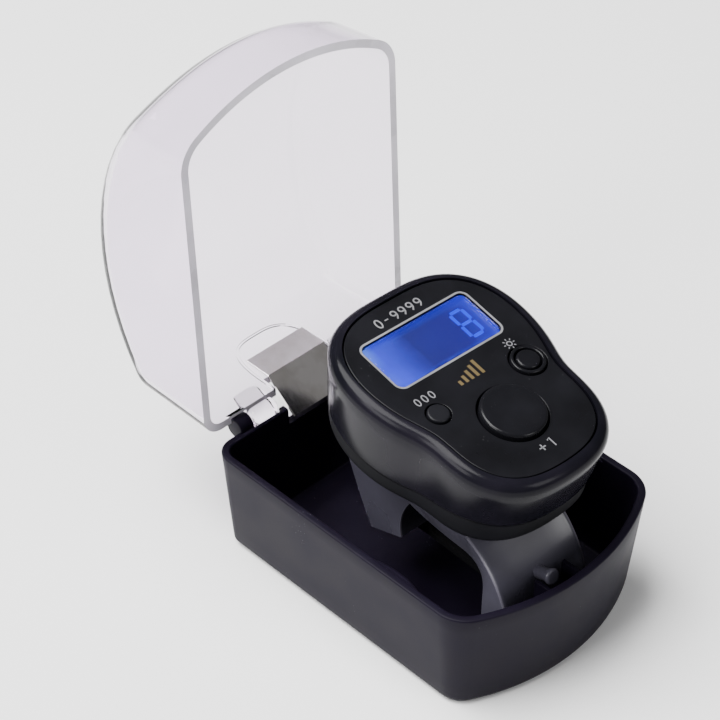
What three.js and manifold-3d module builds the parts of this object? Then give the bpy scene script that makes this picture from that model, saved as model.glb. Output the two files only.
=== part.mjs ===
// Digital tally counter on a finger ring, standing in its sprung case with the clear lid open.
// Millimetres, +Z up, origin under the middle of the case, +Y to the hinge, -Y to the bowed front.
import * as THREE from 'three';
import { mergeVertices } from 'three/addons/utils/BufferGeometryUtils.js';
import Module from 'manifold-3d';

const wasm = await Module();
wasm.setup();

// Air left between neighbours, how far a cut runs past a face, and how deep a joined piece is rooted.
const FIT = { gap: 0.3, wideGap: 0.45, bedGap: 0.36, overrun: 2, root: 0.5 };

// Facets of round features.
const STEPS = { bow: 7, corner: 4, side: 8, edge: 4, dome: 3, pear: 44, round: 28, small: 14 };

// Case base: a tapered tray, square at the hinge and bowed at the front.
const CASE = {
  halfWidth: 22,
  length: 59.3,
  bow: 6.7,
  backCorner: 3.55,
  frontCorner: 6.05,
  leastCorner: 0.35,
  height: 19.85,
  taper: 1.64,
  wall: 1.35,
  floor: 1.5,
  footRound: 1.5,
};

// Half-round pads on the long walls, and the fork in the front wall that the ring's peg lies in.
const PAD = { y: -9.5, halfLength: 5.5, reach: 1.1, top: 18.6 };
const FORK = { slot: 5.5, cheek: 0.7, endFromFront: 7.4, top: 15.3 };

// Hinge line behind the back wall, the lid's lugs and stub pins, and the base's knuckles.
const HINGE = {
  behindWall: 1.16,
  aboveRim: 0.05,
  openAngle: THREE.MathUtils.degToRad(93.27),
  lugInner: 7.9,
  lugLength: 5,
  lugRadius: 1.7,
  lugHeight: 4.6,
  pinRadius: 0.8,
  pinLength: 2,
  knuckleLength: 2.7,
  knuckleRadius: 1.75,
  knuckleWeb: 3.4,
};

// Clear lid: same plan as the base, domed along the case.
const LID = {
  wall: 1.4,
  taper: 0.5,
  edgeRound: 3,
  crest: 44.45,
  crestY: 5.9,
  domeRadius: 40.3,
  row: 5,
};
// Share of the bow that the dome's rows follow at the front edge, fading to none at the back wall.
const DOME_BOW_SHARE = 0.88;

// Bent leaf spring across the hinge, and the slots that it works in.
const SPRING = {
  halfWidth: 6.2,
  thickness: 0.4,
  side: 0.6,
  crease: 2.6,
  leaf: 5.4,
  dropY: 5.8,
  dropZ: 4.8,
  slot: 3.05,
};

// Counter head: place of its face, tilt of the face and the small turn that it stands at.
const HEAD = {
  behindFront: 23.97,
  aboveFork: 27.67,
  tilt: THREE.MathUtils.degToRad(10.4),
  turn: THREE.MathUtils.degToRad(-2.5),
  faceRadius: 17.2,
  bezel: 2.3,
  bezelRound: 2,
  bezelRise: 0.15,
  skirt: 1.2,
  wall: 0.9,
  parting: 12.7,
  partingFrontRise: 3.2,
  partingBackRise: 1.2,
  partingReach: 19,
};
// Shares of the face radius in the pear-shaped outline: cosines of one to six times the angle.
const PEAR_SHARES = [0.0784, 0.1827, -0.0547, -0.0458, 0.0044, -0.0229];
const LEAN_SHARE = -0.03;

// Face plate, shelf under it, and the lower shell with its hollow-ground underside.
const PLATE = { thickness: 0.8 };
const SHELF = { thickness: 1.2 };
const LOWER = {
  step: 0.3,
  wall: 1.35,
  floor: 1.3,
  depth: 16.2,
  frontRadius: 66,
  backRadius: 75,
  edgeRound: 1.2,
};

// Display, from the window down to the light guide.
const DISPLAY = {
  w: 10,
  halfWidth: 11.2,
  halfHeight: 4.9,
  corner: 1.9,
  windowSink: 0.1,
  windowThickness: 0.7,
  panelThickness: 1.4,
  guideThickness: 1.6,
  zebraWidth: 1.3,
};

// Buttons: cap radius, rise over the face, travel, and the flange that keeps each under the shelf.
const COUNT = {
  u: 0,
  w: -7.7,
  radius: 5.2,
  rise: 0.9,
  travel: 0.9,
  ring: 0.35,
  flange: 0.8,
  flangeHeight: 0.9,
  stem: 1.5,
  edge: 0.5,
};
const RESET = {
  u: -9.3,
  w: -1.45,
  radius: 1.75,
  rise: 0.3,
  travel: 0.5,
  ring: 0.3,
  flange: 0.6,
  flangeHeight: 0.7,
  stem: 0.9,
  edge: 0.2,
};
const LIGHT = {
  u: 9.2,
  w: -1.45,
  radius: 1.9,
  rise: 0.5,
  travel: 0.5,
  ring: 0.3,
  flange: 0.8,
  flangeHeight: 0.7,
  stem: 0.9,
  edge: 0.3,
};
const COLLAR = { thickness: 0.6, rise: 0.4 };

// Circuit board and what is on it.
const BOARD = { depth: 7, thickness: 1, inset: 0.1 };
const SWITCH = { countHalf: 2.6, smallHalf: 1.7, dome: 1.2, domeHeight: 0.4 };
const CHIP = { w: 0.6, radius: 2.6, height: 1.1 };
const LED = { width: 1.6, halfLength: 1.5, height: 3.3 };

// Two button cells under the board, with their contacts and the bridge between them.
const CELL = { radius: 5.8, thickness: 3.1, pitch: 12.2, edge: 0.3 };
const CONTACT = { thickness: 0.3, halfWidth: 2, halfLength: 4.5 };

// Screws: three hold the shells together, two hold the ring saddle.
const SCREW = { head: 1.3, headHeight: 0.9, shank: 0.7, recess: 1.6, postWall: 0.7, tip: 3.6 };
const SHELL_SCREW_PLACES = { frontW: -15.6, sideU: 11.5, sideW: 3 };
const RING_SCREW = { u: 5.2, bite: 5 };

// Ring saddle, drawn in a level side view about the middle of its front arch.
const RING = {
  archOffset: -6.67,
  archDepth: -36.46,
  halfWidth: 8.8,
  archRadius: 18,
  archTop: THREE.MathUtils.degToRad(60),
  footHeight: 1.45,
  rimWidth: 0.7,
  dishTopDepth: 0.5,
  dishFootDepth: 1.95,
  dishFullHeight: 8.7,
  neckOffset: -9,
  neckPullY: 5.9,
  neckPullZ: 17.4,
  backOffset: 19.6,
  backPullY: 21.9,
  backPullZ: 20,
  backEndY: 13,
  backEndZ: 3.3,
  backTipY: 6,
  backTipZ: 5.9,
  holePullY: 7,
  holePullZ: 10.2,
  holeCornerY: 4.3,
  holeCornerZ: 14.3,
  ceilingHeight: 13.2,
  ceilingLength: 7,
  holeFrontLength: 12,
  holeFrontHeight: 8.4,
};
const PEG = {
  z: 8.6,
  rise: THREE.MathUtils.degToRad(20),
  stem: 1.05,
  length: 4.1,
  head: 1.4,
  headHeight: 0.9,
};

// Rubber strap from the back arm, under the finger and through the slot in the front arm.
const STRAP = {
  halfWidth: 2.5,
  thickness: 1.3,
  low: 2.55,
  sag: 0.25,
  rootDrop: 0.65,
  rootBack: 0.5,
  holeRadius: 0.8,
  holePitch: 3.2,
  holes: 4,
  firstHole: 9.6,
  tip: 15.7,
};

// Plain colours of the real materials.
function plain(color, roughness, metalness = 0) {
  return new THREE.MeshStandardMaterial({ color, roughness, metalness });
}

const COLOURS = {
  blackPlastic: plain(0x2b2a30, 0.45),
  glossBlack: plain(0x141418, 0.15),
  mattBlack: plain(0x17171b, 0.7),
  clear: plain(0xf0eaf6, 0.08),
  slate: plain(0x4a4a56, 0.4),
  rubber: plain(0x121214, 0.85),
  steel: plain(0xb9b6b0, 0.25, 1),
  display: plain(0x2a4bff, 0.2),
  board: plain(0x1f5a35, 0.6),
};
COLOURS.clear.transparent = true;
COLOURS.clear.opacity = 0.35;

// A closed surface through stacked rings of equal count, capped at both ends.
function loft(rings, cap = stripCap(rings[0].length)) {
  const count = rings[0].length;
  const points = rings.flat();
  const faces = [];
  for (let base = 0; base + count < points.length; base += count) {
    for (let k = 0; k < count; k += 1) {
      const a = base + k;
      const b = base + ((k + 1) % count);
      faces.push([a, b, a + count], [b, b + count, a + count]);
    }
  }
  const last = points.length - count;
  for (const [a, b, c] of cap) {
    faces.push([a, c, b], [last + a, last + b, last + c]);
  }
  const geometry = new THREE.BufferGeometry();
  const coordinates = points.flatMap((p) => p.toArray());
  geometry.setAttribute('position', new THREE.Float32BufferAttribute(coordinates, 3));
  geometry.setIndex(faces.flat());
  return solid(geometry);
}

// Cap of a ring whose second half mirrors its first: strips straight across.
function stripCap(count) {
  const faces = [];
  for (let k = 0; k + 1 < count / 2; k += 1) {
    faces.push([k, k + 1, count - 1 - k], [k + 1, count - 2 - k, count - 1 - k]);
  }
  return faces;
}

// A three.js geometry as a solid that can be joined and cut, with its faces pointing out.
function solid(geometry) {
  const bare = geometry.clone();
  bare.deleteAttribute('normal');
  bare.deleteAttribute('uv');
  const welded = mergeVertices(bare);
  const vertProperties = new Float32Array(welded.attributes.position.array);
  const corner = (k) => new THREE.Vector3().fromArray(vertProperties, 3 * k);
  const index = Array.from(welded.index.array);
  const faces = [];
  for (let k = 0; k < index.length; k += 3) {
    const [a, b, c] = index.slice(k, k + 3);
    if (a !== b && b !== c && c !== a) faces.push([a, b, c]);
  }
  const volume = faces.reduce((sum, [a, b, c]) => sum + corner(a).dot(corner(b).cross(corner(c))), 0);
  const outward = faces.flatMap(([a, b, c]) => (volume < 0 ? [a, c, b] : [a, b, c]));
  return new wasm.Manifold(new wasm.Mesh({ numProp: 3, vertProperties, triVerts: new Uint32Array(outward) }));
}

// A solid as a named mesh in its group.
function addPiece(group, name, shape, material) {
  const { vertProperties, triVerts } = shape.getMesh();
  const geometry = new THREE.BufferGeometry();
  geometry.setAttribute('position', new THREE.BufferAttribute(new Float32Array(vertProperties), 3));
  geometry.setIndex(Array.from(triVerts));
  geometry.computeVertexNormals();
  const mesh = new THREE.Mesh(geometry, material);
  mesh.name = name;
  group.add(mesh);
}

function block(x, y, z) {
  const size = new THREE.Vector3(x[1] - x[0], y[1] - y[0], z[1] - z[0]);
  const geometry = new THREE.BoxGeometry(size.x, size.y, size.z);
  return solid(geometry.translate((x[0] + x[1]) / 2, (y[0] + y[1]) / 2, (z[0] + z[1]) / 2));
}

// Cap of a ring that is a side view, turned the way its outline runs.
function sideCap(outline) {
  const faces = THREE.ShapeUtils.triangulateShape(outline, []);
  return THREE.ShapeUtils.isClockWise(outline) ? faces.map(([a, b, c]) => [a, c, b]) : faces;
}

// A side view of (y, z) points carried across from one x to the other.
function slab(outline, x) {
  const ring = (at) => outline.map((p) => new THREE.Vector3(at, p.x, p.y));
  return loft([ring(x[0]), ring(x[1])], sideCap(outline));
}

// A round bar between two points.
function rod(radius, from, to, steps = STEPS.small) {
  const along = to.clone().sub(from);
  const geometry = new THREE.CylinderGeometry(radius, radius, along.length(), steps);
  const up = new THREE.Vector3(0, 1, 0);
  geometry.applyQuaternion(new THREE.Quaternion().setFromUnitVectors(up, along.clone().normalize()));
  const middle = from.clone().add(to).divideScalar(2);
  return solid(geometry.translate(middle.x, middle.y, middle.z));
}

// A turned piece on an upright axis at (u, w), from a profile of [radius, height].
function turned(profile, at, steps = STEPS.small) {
  const geometry = new THREE.LatheGeometry(profile.map(([r, n]) => new THREE.Vector2(r, n)), steps);
  return solid(geometry.rotateX(Math.PI / 2).translate(at.u, at.w, 0));
}

function disc(radius, at, low, high, steps = STEPS.small) {
  return turned([[0, low], [radius, low], [radius, high], [0, high]], at, steps);
}

// An upright plate with rounded corners, centred at (0, w).
function roundedPlate(halfU, halfW, corner, w, low, high) {
  const shape = new THREE.Shape();
  const r = Math.min(corner, halfU, halfW);
  shape.moveTo(halfU, r - halfW);
  shape.absarc(halfU - r, halfW - r, r, 0, Math.PI / 2);
  shape.absarc(r - halfU, halfW - r, r, Math.PI / 2, Math.PI);
  shape.absarc(r - halfU, r - halfW, r, Math.PI, 1.5 * Math.PI);
  shape.absarc(halfU - r, r - halfW, r, 1.5 * Math.PI, 2 * Math.PI);
  const extrusion = { depth: high - low, bevelEnabled: false, curveSegments: STEPS.edge };
  const geometry = new THREE.ExtrudeGeometry(shape, extrusion);
  return solid(geometry.translate(0, w, low));
}

// Plan of the case at an inset: right half from the bow to the back edge, then its mirror.
function casePlan(inset) {
  const halfWidth = CASE.halfWidth - inset;
  const back = CASE.length / 2 - inset;
  const fullRadius = (CASE.halfWidth ** 2 + CASE.bow ** 2) / (2 * CASE.bow);
  const bowY = fullRadius - CASE.length / 2;
  const bowRadius = fullRadius - inset;
  const front = Math.max(CASE.frontCorner - inset, CASE.leastCorner);
  const rear = Math.max(CASE.backCorner - inset, CASE.leastCorner);
  const frontX = halfWidth - front;
  const swing = Math.asin(frontX / (bowRadius - front));
  const frontY = bowY - (bowRadius - front) * Math.cos(swing);
  const half = [];
  for (let k = 0; k < STEPS.bow; k += 1) {
    const angle = (swing * (k + 0.5)) / (STEPS.bow + 0.5);
    half.push(new THREE.Vector2(bowRadius * Math.sin(angle), bowY - bowRadius * Math.cos(angle)));
  }
  for (let k = 0; k <= STEPS.corner; k += 1) {
    const angle = swing + ((Math.PI / 2 - swing) * k) / STEPS.corner;
    half.push(new THREE.Vector2(frontX + front * Math.sin(angle), frontY - front * Math.cos(angle)));
  }
  for (let k = 1; k < STEPS.side; k += 1) {
    half.push(new THREE.Vector2(halfWidth, THREE.MathUtils.lerp(frontY, back - rear, k / STEPS.side)));
  }
  for (let k = 0; k <= STEPS.corner; k += 1) {
    const angle = ((Math.PI / 2) * k) / STEPS.corner;
    const across = halfWidth - rear + rear * Math.cos(angle);
    half.push(new THREE.Vector2(across, back - rear + rear * Math.sin(angle)));
  }
  return half.concat(half.map((p) => new THREE.Vector2(-p.x, p.y)).reverse());
}

function caseTaper(z) {
  return CASE.taper * (1 - z / CASE.height);
}

// The tray's skin at an inset from its outside, closed at the given top.
function traySkin(inset, low, round, top) {
  const ring = (z, extra) => {
    const plan = casePlan(inset + caseTaper(z) + extra);
    return plan.map((p) => new THREE.Vector3(p.x, p.y, z));
  };
  const rings = [];
  for (let k = 0; k <= STEPS.edge; k += 1) {
    const angle = ((Math.PI / 2) * k) / STEPS.edge;
    rings.push(ring(low + round * (1 - Math.cos(angle)), round * (1 - Math.sin(angle))));
  }
  rings.push(ring(top, 0));
  return loft(rings);
}

const backWall = CASE.length / 2;
const hingeY = backWall + HINGE.behindWall;
const hingeZ = CASE.height + HINGE.aboveRim;
const lugOuter = HINGE.lugInner + HINGE.lugLength;
const knuckleInner = lugOuter + FIT.gap * 2;
const knuckleOuter = knuckleInner + HINGE.knuckleLength;
const springSlot = SPRING.halfWidth + SPRING.side;
const lidRim = CASE.height + FIT.gap;

// A bar on the hinge line.
function hingeBar(radius, inner, outer, side) {
  const from = new THREE.Vector3(side * inner, hingeY, hingeZ);
  const to = new THREE.Vector3(side * outer, hingeY, hingeZ);
  return rod(radius, from, to);
}

function mirrored(x, side) {
  return side > 0 ? x : [-x[1], -x[0]];
}

function makeCaseBase() {
  const innerRound = Math.max(CASE.footRound - CASE.wall, CASE.leastCorner);
  const middle = traySkin(CASE.wall / 2, CASE.floor / 2, innerRound, CASE.height - FIT.gap);
  let base = traySkin(0, 0, CASE.footRound, CASE.height).subtract(
    traySkin(CASE.wall, CASE.floor, innerRound, CASE.height + FIT.overrun),
  );
  for (const side of [-1, 1]) {
    const padRadius = (PAD.halfLength ** 2 + PAD.reach ** 2) / (2 * PAD.reach);
    const padFace = CASE.halfWidth - CASE.wall - PAD.reach;
    const pad = disc(padRadius, { u: side * (padFace + padRadius), w: PAD.y }, 0, PAD.top, STEPS.round * 2);
    const cheekX = mirrored([FORK.slot / 2, FORK.slot / 2 + FORK.cheek], side);
    const cheek = block(cheekX, [-backWall, FORK.endFromFront - backWall], [0, FORK.top]);
    base = base.add(pad.intersect(middle)).add(cheek.intersect(middle));
    const web = block(
      mirrored([knuckleInner, knuckleOuter], side),
      [backWall - CASE.wall / 2, hingeY],
      [hingeZ - HINGE.knuckleWeb, CASE.height - FIT.gap],
    );
    base = base.add(web).add(hingeBar(HINGE.knuckleRadius, knuckleInner, knuckleOuter, side));
    base = base.subtract(hingeBar(HINGE.lugRadius + FIT.gap, HINGE.lugInner - FIT.gap, knuckleInner, side));
    const boreEnd = lugOuter + HINGE.pinLength + FIT.gap;
    base = base.subtract(hingeBar(HINGE.pinRadius + FIT.gap, lugOuter, boreEnd, side));
  }
  const slotY = [backWall - CASE.wall - CASE.taper - FIT.overrun, backWall + FIT.overrun];
  const slotZ = [CASE.height - SPRING.slot, CASE.height + FIT.overrun];
  return base.subtract(block([-springSlot, springSlot], slotY, slotZ));
}

// Height of the dome over a point of the plan: an arc along the case, its rows bowed like the front wall.
function domeHeight(p) {
  const sag = CASE.bow * (1 - (p.x / CASE.halfWidth) ** 2);
  const y = p.y + (DOME_BOW_SHARE * sag * (backWall - p.y)) / CASE.length;
  return LID.crest - LID.domeRadius + Math.sqrt(LID.domeRadius ** 2 - (y - LID.crestY) ** 2);
}

// The lid's skin at an inset from its outside, in its closed place.
function lidSkin(inset, low) {
  const round = LID.edgeRound - inset;
  const rings = [casePlan(inset).map((p) => new THREE.Vector3(p.x, p.y, low))];
  for (let k = 0; k <= STEPS.edge; k += 1) {
    const angle = ((Math.PI / 2) * k) / STEPS.edge;
    const plan = casePlan(inset + LID.taper + round * (1 - Math.cos(angle)));
    const drop = inset + round * (1 - Math.sin(angle));
    rings.push(plan.map((p) => new THREE.Vector3(p.x, p.y, domeHeight(p) - drop)));
  }
  for (let k = 1; k <= STEPS.dome; k += 1) {
    const plan = casePlan(LID.edgeRound + LID.taper + LID.row * k);
    rings.push(plan.map((p) => new THREE.Vector3(p.x, p.y, domeHeight(p) - inset)));
  }
  return loft(rings);
}

function makeCaseLid() {
  let lid = lidSkin(0, lidRim).subtract(lidSkin(LID.wall, lidRim - FIT.overrun));
  for (const side of [-1, 1]) {
    const recess = HINGE.knuckleRadius + FIT.gap;
    lid = lid.subtract(hingeBar(recess, knuckleInner - FIT.gap, knuckleOuter + FIT.gap, side));
    const rootY = backWall - LID.wall / 2;
    const lug = [
      new THREE.Vector2(rootY, lidRim),
      new THREE.Vector2(hingeY, hingeZ - HINGE.lugRadius / 2),
      new THREE.Vector2(hingeY + HINGE.lugRadius, hingeZ),
      new THREE.Vector2(backWall, hingeZ + HINGE.lugHeight),
      new THREE.Vector2(rootY - LID.taper / 2, hingeZ + HINGE.lugHeight),
    ];
    lid = lid.add(slab(lug, mirrored([HINGE.lugInner, lugOuter], side)));
    lid = lid.add(hingeBar(HINGE.lugRadius, HINGE.lugInner, lugOuter, side));
    lid = lid.add(hingeBar(HINGE.pinRadius, lugOuter - FIT.root, lugOuter + HINGE.pinLength, side));
  }
  const slotZ = [lidRim - FIT.overrun, lidRim + SPRING.slot];
  return lid.subtract(block([-springSlot, springSlot], [backWall - LID.wall - FIT.overrun, hingeY], slotZ));
}

// The spring's side view with the lid open: lower leaf into the base, crease, upper leaf on the lid's wall.
function makeHingeSpring() {
  const upperZ = hingeZ + HINGE.behindWall + LID.wall + FIT.wideGap;
  const creaseY = hingeY + SPRING.crease;
  const t = SPRING.thickness;
  const outline = [
    new THREE.Vector2(creaseY - SPRING.dropY, upperZ - SPRING.dropZ),
    new THREE.Vector2(creaseY + t / 2, upperZ),
    new THREE.Vector2(creaseY + SPRING.leaf, upperZ),
    new THREE.Vector2(creaseY + SPRING.leaf, upperZ + t),
    new THREE.Vector2(creaseY, upperZ + t),
    new THREE.Vector2(creaseY - SPRING.dropY - t / 2, upperZ - SPRING.dropZ + t),
  ];
  return slab(outline, [-SPRING.halfWidth, SPRING.halfWidth]);
}

// Pear-shaped outline of the face, moved outwards by an offset, as points (u, w).
function pearPlan(offset) {
  const points = [];
  for (let k = 0; k < STEPS.pear; k += 1) {
    const angle = ((k + 0.5) * 2 * Math.PI) / STEPS.pear;
    let radius = HEAD.faceRadius;
    let slope = 0;
    PEAR_SHARES.forEach((share, i) => {
      const order = i + 1;
      radius += HEAD.faceRadius * share * Math.cos(order * angle);
      slope -= HEAD.faceRadius * share * order * Math.sin(order * angle);
    });
    const point = new THREE.Vector2(radius * Math.sin(angle), radius * Math.cos(angle));
    const outward = new THREE.Vector2(point.x - slope * Math.cos(angle), slope * Math.sin(angle) + point.y);
    points.push(point.addScaledVector(outward.normalize(), offset));
  }
  return points;
}

// A ring of the head at an offset from the face's outline; its height may follow w.
function pearRing(offset, height) {
  return pearPlan(offset).map((p) => {
    const n = height(p.y);
    return new THREE.Vector3(p.x, p.y - LEAN_SHARE * n, n);
  });
}

function flat(n) {
  return () => n;
}

// Parting line between the shells, and the underside that the ring saddle follows.
function partingHeight(w) {
  const rise = w < 0 ? HEAD.partingFrontRise : HEAD.partingBackRise;
  return rise * THREE.MathUtils.smoothstep(Math.abs(w), 0, HEAD.partingReach) - HEAD.parting;
}

function undersideHeight(w) {
  return w ** 2 / (2 * (w < 0 ? LOWER.frontRadius : LOWER.backRadius)) - LOWER.depth;
}

const pocket = -PLATE.thickness - FIT.gap;
const shelfLow = pocket - SHELF.thickness;
const boardTop = -BOARD.depth;
const boardLow = boardTop - BOARD.thickness;
const innerOffset = HEAD.skirt - HEAD.wall;
const lowerOffset = HEAD.skirt - LOWER.step;
const shellScrews = [
  { name: 'shell_screw_front', u: 0, w: SHELL_SCREW_PLACES.frontW },
  { name: 'shell_screw_left', u: -SHELL_SCREW_PLACES.sideU, w: SHELL_SCREW_PLACES.sideW },
  { name: 'shell_screw_right', u: SHELL_SCREW_PLACES.sideU, w: SHELL_SCREW_PLACES.sideW },
];
const ringScrews = [
  { name: 'ring_screw_left', u: -RING_SCREW.u, w: 0 },
  { name: 'ring_screw_right', u: RING_SCREW.u, w: 0 },
];
const collarRadius = LIGHT.radius + LIGHT.ring + COLLAR.thickness;

// Cuts every opening of the face out of a plate between two heights.
function cutFace(shape, low, high, ease) {
  const halfU = DISPLAY.halfWidth + FIT.gap;
  const halfW = DISPLAY.halfHeight + FIT.gap;
  return shape
    .subtract(roundedPlate(halfU, halfW, DISPLAY.corner + FIT.gap, DISPLAY.w, low, high))
    .subtract(disc(COUNT.radius + COUNT.ring, COUNT, low, high, STEPS.round))
    .subtract(disc(RESET.radius + RESET.ring, RESET, low, high))
    .subtract(disc(ease, LIGHT, low, high));
}

function makeFacePlate() {
  const plate = loft([pearRing(0, flat(-PLATE.thickness)), pearRing(0, flat(0))]);
  return cutFace(plate, -PLATE.thickness - FIT.overrun, FIT.overrun, collarRadius + FIT.gap);
}

function makeUpperShell() {
  const rings = [
    pearRing(innerOffset, flat(shelfLow)),
    pearRing(innerOffset, partingHeight),
    pearRing(HEAD.skirt, partingHeight),
  ];
  const crest = HEAD.bezelRise - HEAD.bezelRound;
  for (let k = 0; k <= STEPS.edge; k += 1) {
    const angle = ((Math.PI / 2) * k) / STEPS.edge;
    const out = HEAD.bezel - HEAD.bezelRound * (1 - Math.cos(angle));
    rings.push(pearRing(out, flat(crest + HEAD.bezelRound * Math.sin(angle))));
  }
  rings.push(pearRing(HEAD.bezel - HEAD.bezelRound, flat(pocket)));
  let shell = cutFace(loft(rings), shelfLow - FIT.overrun, FIT.overrun, LIGHT.radius + LIGHT.ring);
  const postLow = boardTop + FIT.gap;
  for (const screw of shellScrews) {
    const radius = SCREW.shank + FIT.gap + SCREW.postWall;
    shell = shell.add(disc(radius, screw, postLow, shelfLow + FIT.root));
    shell = shell.subtract(disc(SCREW.shank + FIT.gap, screw, postLow - FIT.overrun, FIT.gap - SCREW.tip));
  }
  return shell;
}

// Height under which a shell screw's head is seated.
function screwSeat(screw) {
  return undersideHeight(screw.w) + SCREW.recess;
}

function makeLowerShell() {
  const rim = (w) => partingHeight(w) - FIT.gap;
  const inner = lowerOffset - LOWER.wall - FIT.gap;
  const rings = [
    pearRing(inner, (w) => undersideHeight(w) + LOWER.floor),
    pearRing(inner, rim),
    pearRing(lowerOffset, rim),
  ];
  for (let k = 0; k <= STEPS.edge; k += 1) {
    const angle = ((Math.PI / 2) * k) / STEPS.edge;
    const out = lowerOffset - LOWER.edgeRound * (1 - Math.cos(angle));
    rings.push(pearRing(out, (w) => undersideHeight(w) + LOWER.edgeRound * (1 - Math.sin(angle))));
  }
  let shell = loft(rings);
  for (const screw of shellScrews) {
    const floor = undersideHeight(screw.w) + FIT.root;
    shell = shell.add(disc(SCREW.head + FIT.gap + SCREW.postWall, screw, floor, boardLow - FIT.gap));
    shell = shell.subtract(disc(SCREW.shank + FIT.gap, screw, floor - FIT.overrun, boardLow + FIT.overrun));
    shell = shell.subtract(disc(SCREW.head + FIT.gap, screw, floor - FIT.overrun, screwSeat(screw)));
  }
  for (const screw of ringScrews) {
    const low = undersideHeight(screw.w);
    const high = low + LOWER.floor + FIT.overrun;
    shell = shell.subtract(disc(SCREW.shank + FIT.gap, screw, low - FIT.overrun, high));
  }
  return shell;
}

// A screw whose head lies on the far side of its seat from its tip.
function makeScrew(at, seat, tip) {
  const far = seat - Math.sign(tip - seat) * SCREW.headHeight;
  const head = [[0, far], [SCREW.head, far], [SCREW.head, seat]];
  return turned([...head, [SCREW.shank, seat], [SCREW.shank, tip], [0, tip]], at);
}

// A button: stem, retaining flange, cap and eased edge.
function makeButton(button, steps) {
  const flangeTop = shelfLow - FIT.gap;
  const flangeLow = flangeTop - button.flangeHeight;
  const stemLow = switchTop(button) + button.travel + FIT.gap;
  const flangeRadius = button.radius + button.flange;
  return turned([
    [0, Math.min(stemLow, flangeLow)],
    [button.stem, Math.min(stemLow, flangeLow)],
    [button.stem, flangeLow],
    [flangeRadius, flangeLow],
    [flangeRadius, flangeTop],
    [button.radius, flangeTop],
    [button.radius, button.rise - button.edge],
    [button.radius - button.edge, button.rise],
    [0, button.rise],
  ], button, steps);
}

// Top of the dome of the switch under a button: as high as the button's flange and travel allow.
function switchTop(button) {
  return shelfLow - FIT.gap * 2 - button.flangeHeight - button.travel - button.stem / 2;
}

function makeSwitch(button, half) {
  const low = boardTop + FIT.gap;
  const top = switchTop(button);
  const across = [button.u - half, button.u + half];
  const along = [button.w - half, button.w + half];
  const body = block(across, along, [low, top - SWITCH.domeHeight]);
  return body.add(disc(SWITCH.dome, button, low + FIT.root, top));
}

function makeCollar() {
  const bore = LIGHT.radius + LIGHT.ring;
  const low = -PLATE.thickness;
  const outside = [[collarRadius, low], [collarRadius, COLLAR.rise]];
  return turned([[bore, low], ...outside, [bore, COLLAR.rise], [bore, low]], LIGHT, STEPS.round);
}

const windowTop = -DISPLAY.windowSink;
const windowLow = windowTop - DISPLAY.windowThickness;
const panelTop = windowLow - FIT.gap;
const panelLow = panelTop - DISPLAY.panelThickness;
const guideTop = panelLow - FIT.gap;
const guideFront = DISPLAY.w - DISPLAY.halfHeight + DISPLAY.zebraWidth + FIT.gap;
const guideBack = DISPLAY.w + DISPLAY.halfHeight;

// A pane of the display, between two heights.
function makePane(low, high) {
  return roundedPlate(DISPLAY.halfWidth, DISPLAY.halfHeight, DISPLAY.corner, DISPLAY.w, low, high);
}

function makeLightGuide() {
  const halfU = DISPLAY.halfWidth - FIT.gap;
  const halfW = (guideBack - guideFront) / 2;
  const middle = (guideBack + guideFront) / 2;
  return roundedPlate(halfU, halfW, DISPLAY.corner / 2, middle, guideTop - DISPLAY.guideThickness, guideTop);
}

function makeZebraStrip() {
  const front = DISPLAY.w - DISPLAY.halfHeight;
  const half = DISPLAY.halfWidth - DISPLAY.corner;
  return block([-half, half], [front, front + DISPLAY.zebraWidth], [boardTop + FIT.gap, guideTop]);
}

function makeBoard() {
  let board = loft([pearRing(-BOARD.inset, flat(boardLow)), pearRing(-BOARD.inset, flat(boardTop))]);
  for (const screw of shellScrews) {
    const hole = disc(SCREW.shank + FIT.gap, screw, boardLow - FIT.overrun, boardTop + FIT.overrun);
    board = board.subtract(hole);
  }
  return board;
}

function makeChipBlob() {
  const low = boardTop + FIT.gap;
  return turned([
    [0, low],
    [CHIP.radius, low],
    [CHIP.radius * Math.cos(Math.PI / 5), low + CHIP.height * Math.sin(Math.PI / 5)],
    [CHIP.radius * Math.cos(Math.PI / 3), low + CHIP.height * Math.sin(Math.PI / 3)],
    [0, low + CHIP.height],
  ], { u: 0, w: CHIP.w });
}

function makeLed() {
  const right = -DISPLAY.halfWidth;
  const low = boardTop + FIT.gap;
  const along = [DISPLAY.w - LED.halfLength, DISPLAY.w + LED.halfLength];
  return block([right - LED.width, right], along, [low, low + LED.height]);
}

const contactTop = boardLow - FIT.gap;
const cellTop = contactTop - CONTACT.thickness - FIT.gap;
const cellLow = cellTop - CELL.thickness;

function makeCell(w) {
  return turned([
    [0, cellLow],
    [CELL.radius - CELL.edge, cellLow],
    [CELL.radius, cellLow + CELL.edge],
    [CELL.radius, cellTop],
    [0, cellTop],
  ], { u: 0, w }, STEPS.round);
}

function makeContact(w, halfLength, top) {
  const across = [-CONTACT.halfWidth, CONTACT.halfWidth];
  return block(across, [w - halfLength, w + halfLength], [top - CONTACT.thickness, top]);
}

// A point of the ring's level side view, in the head's axes (w, n).
function levelPoint(y, z) {
  const cos = Math.cos(HEAD.tilt);
  const sin = Math.sin(HEAD.tilt);
  return new THREE.Vector2(RING.archOffset + y * cos + z * sin, RING.archDepth - y * sin + z * cos);
}

function curvePoints(curve, steps) {
  return curve.getPoints(steps).slice(0, -1);
}

// How far the front arm's face is dished at x, for a point at height z.
function dishDepth(x, z) {
  const across = Math.max(0, 1 - (Math.abs(x) / (RING.halfWidth - RING.rimWidth)) ** 4);
  const down = Math.max(0, RING.dishFullHeight - z) / (RING.dishFullHeight - RING.footHeight);
  return across * THREE.MathUtils.lerp(RING.dishTopDepth, RING.dishFootDepth, down);
}

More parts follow.
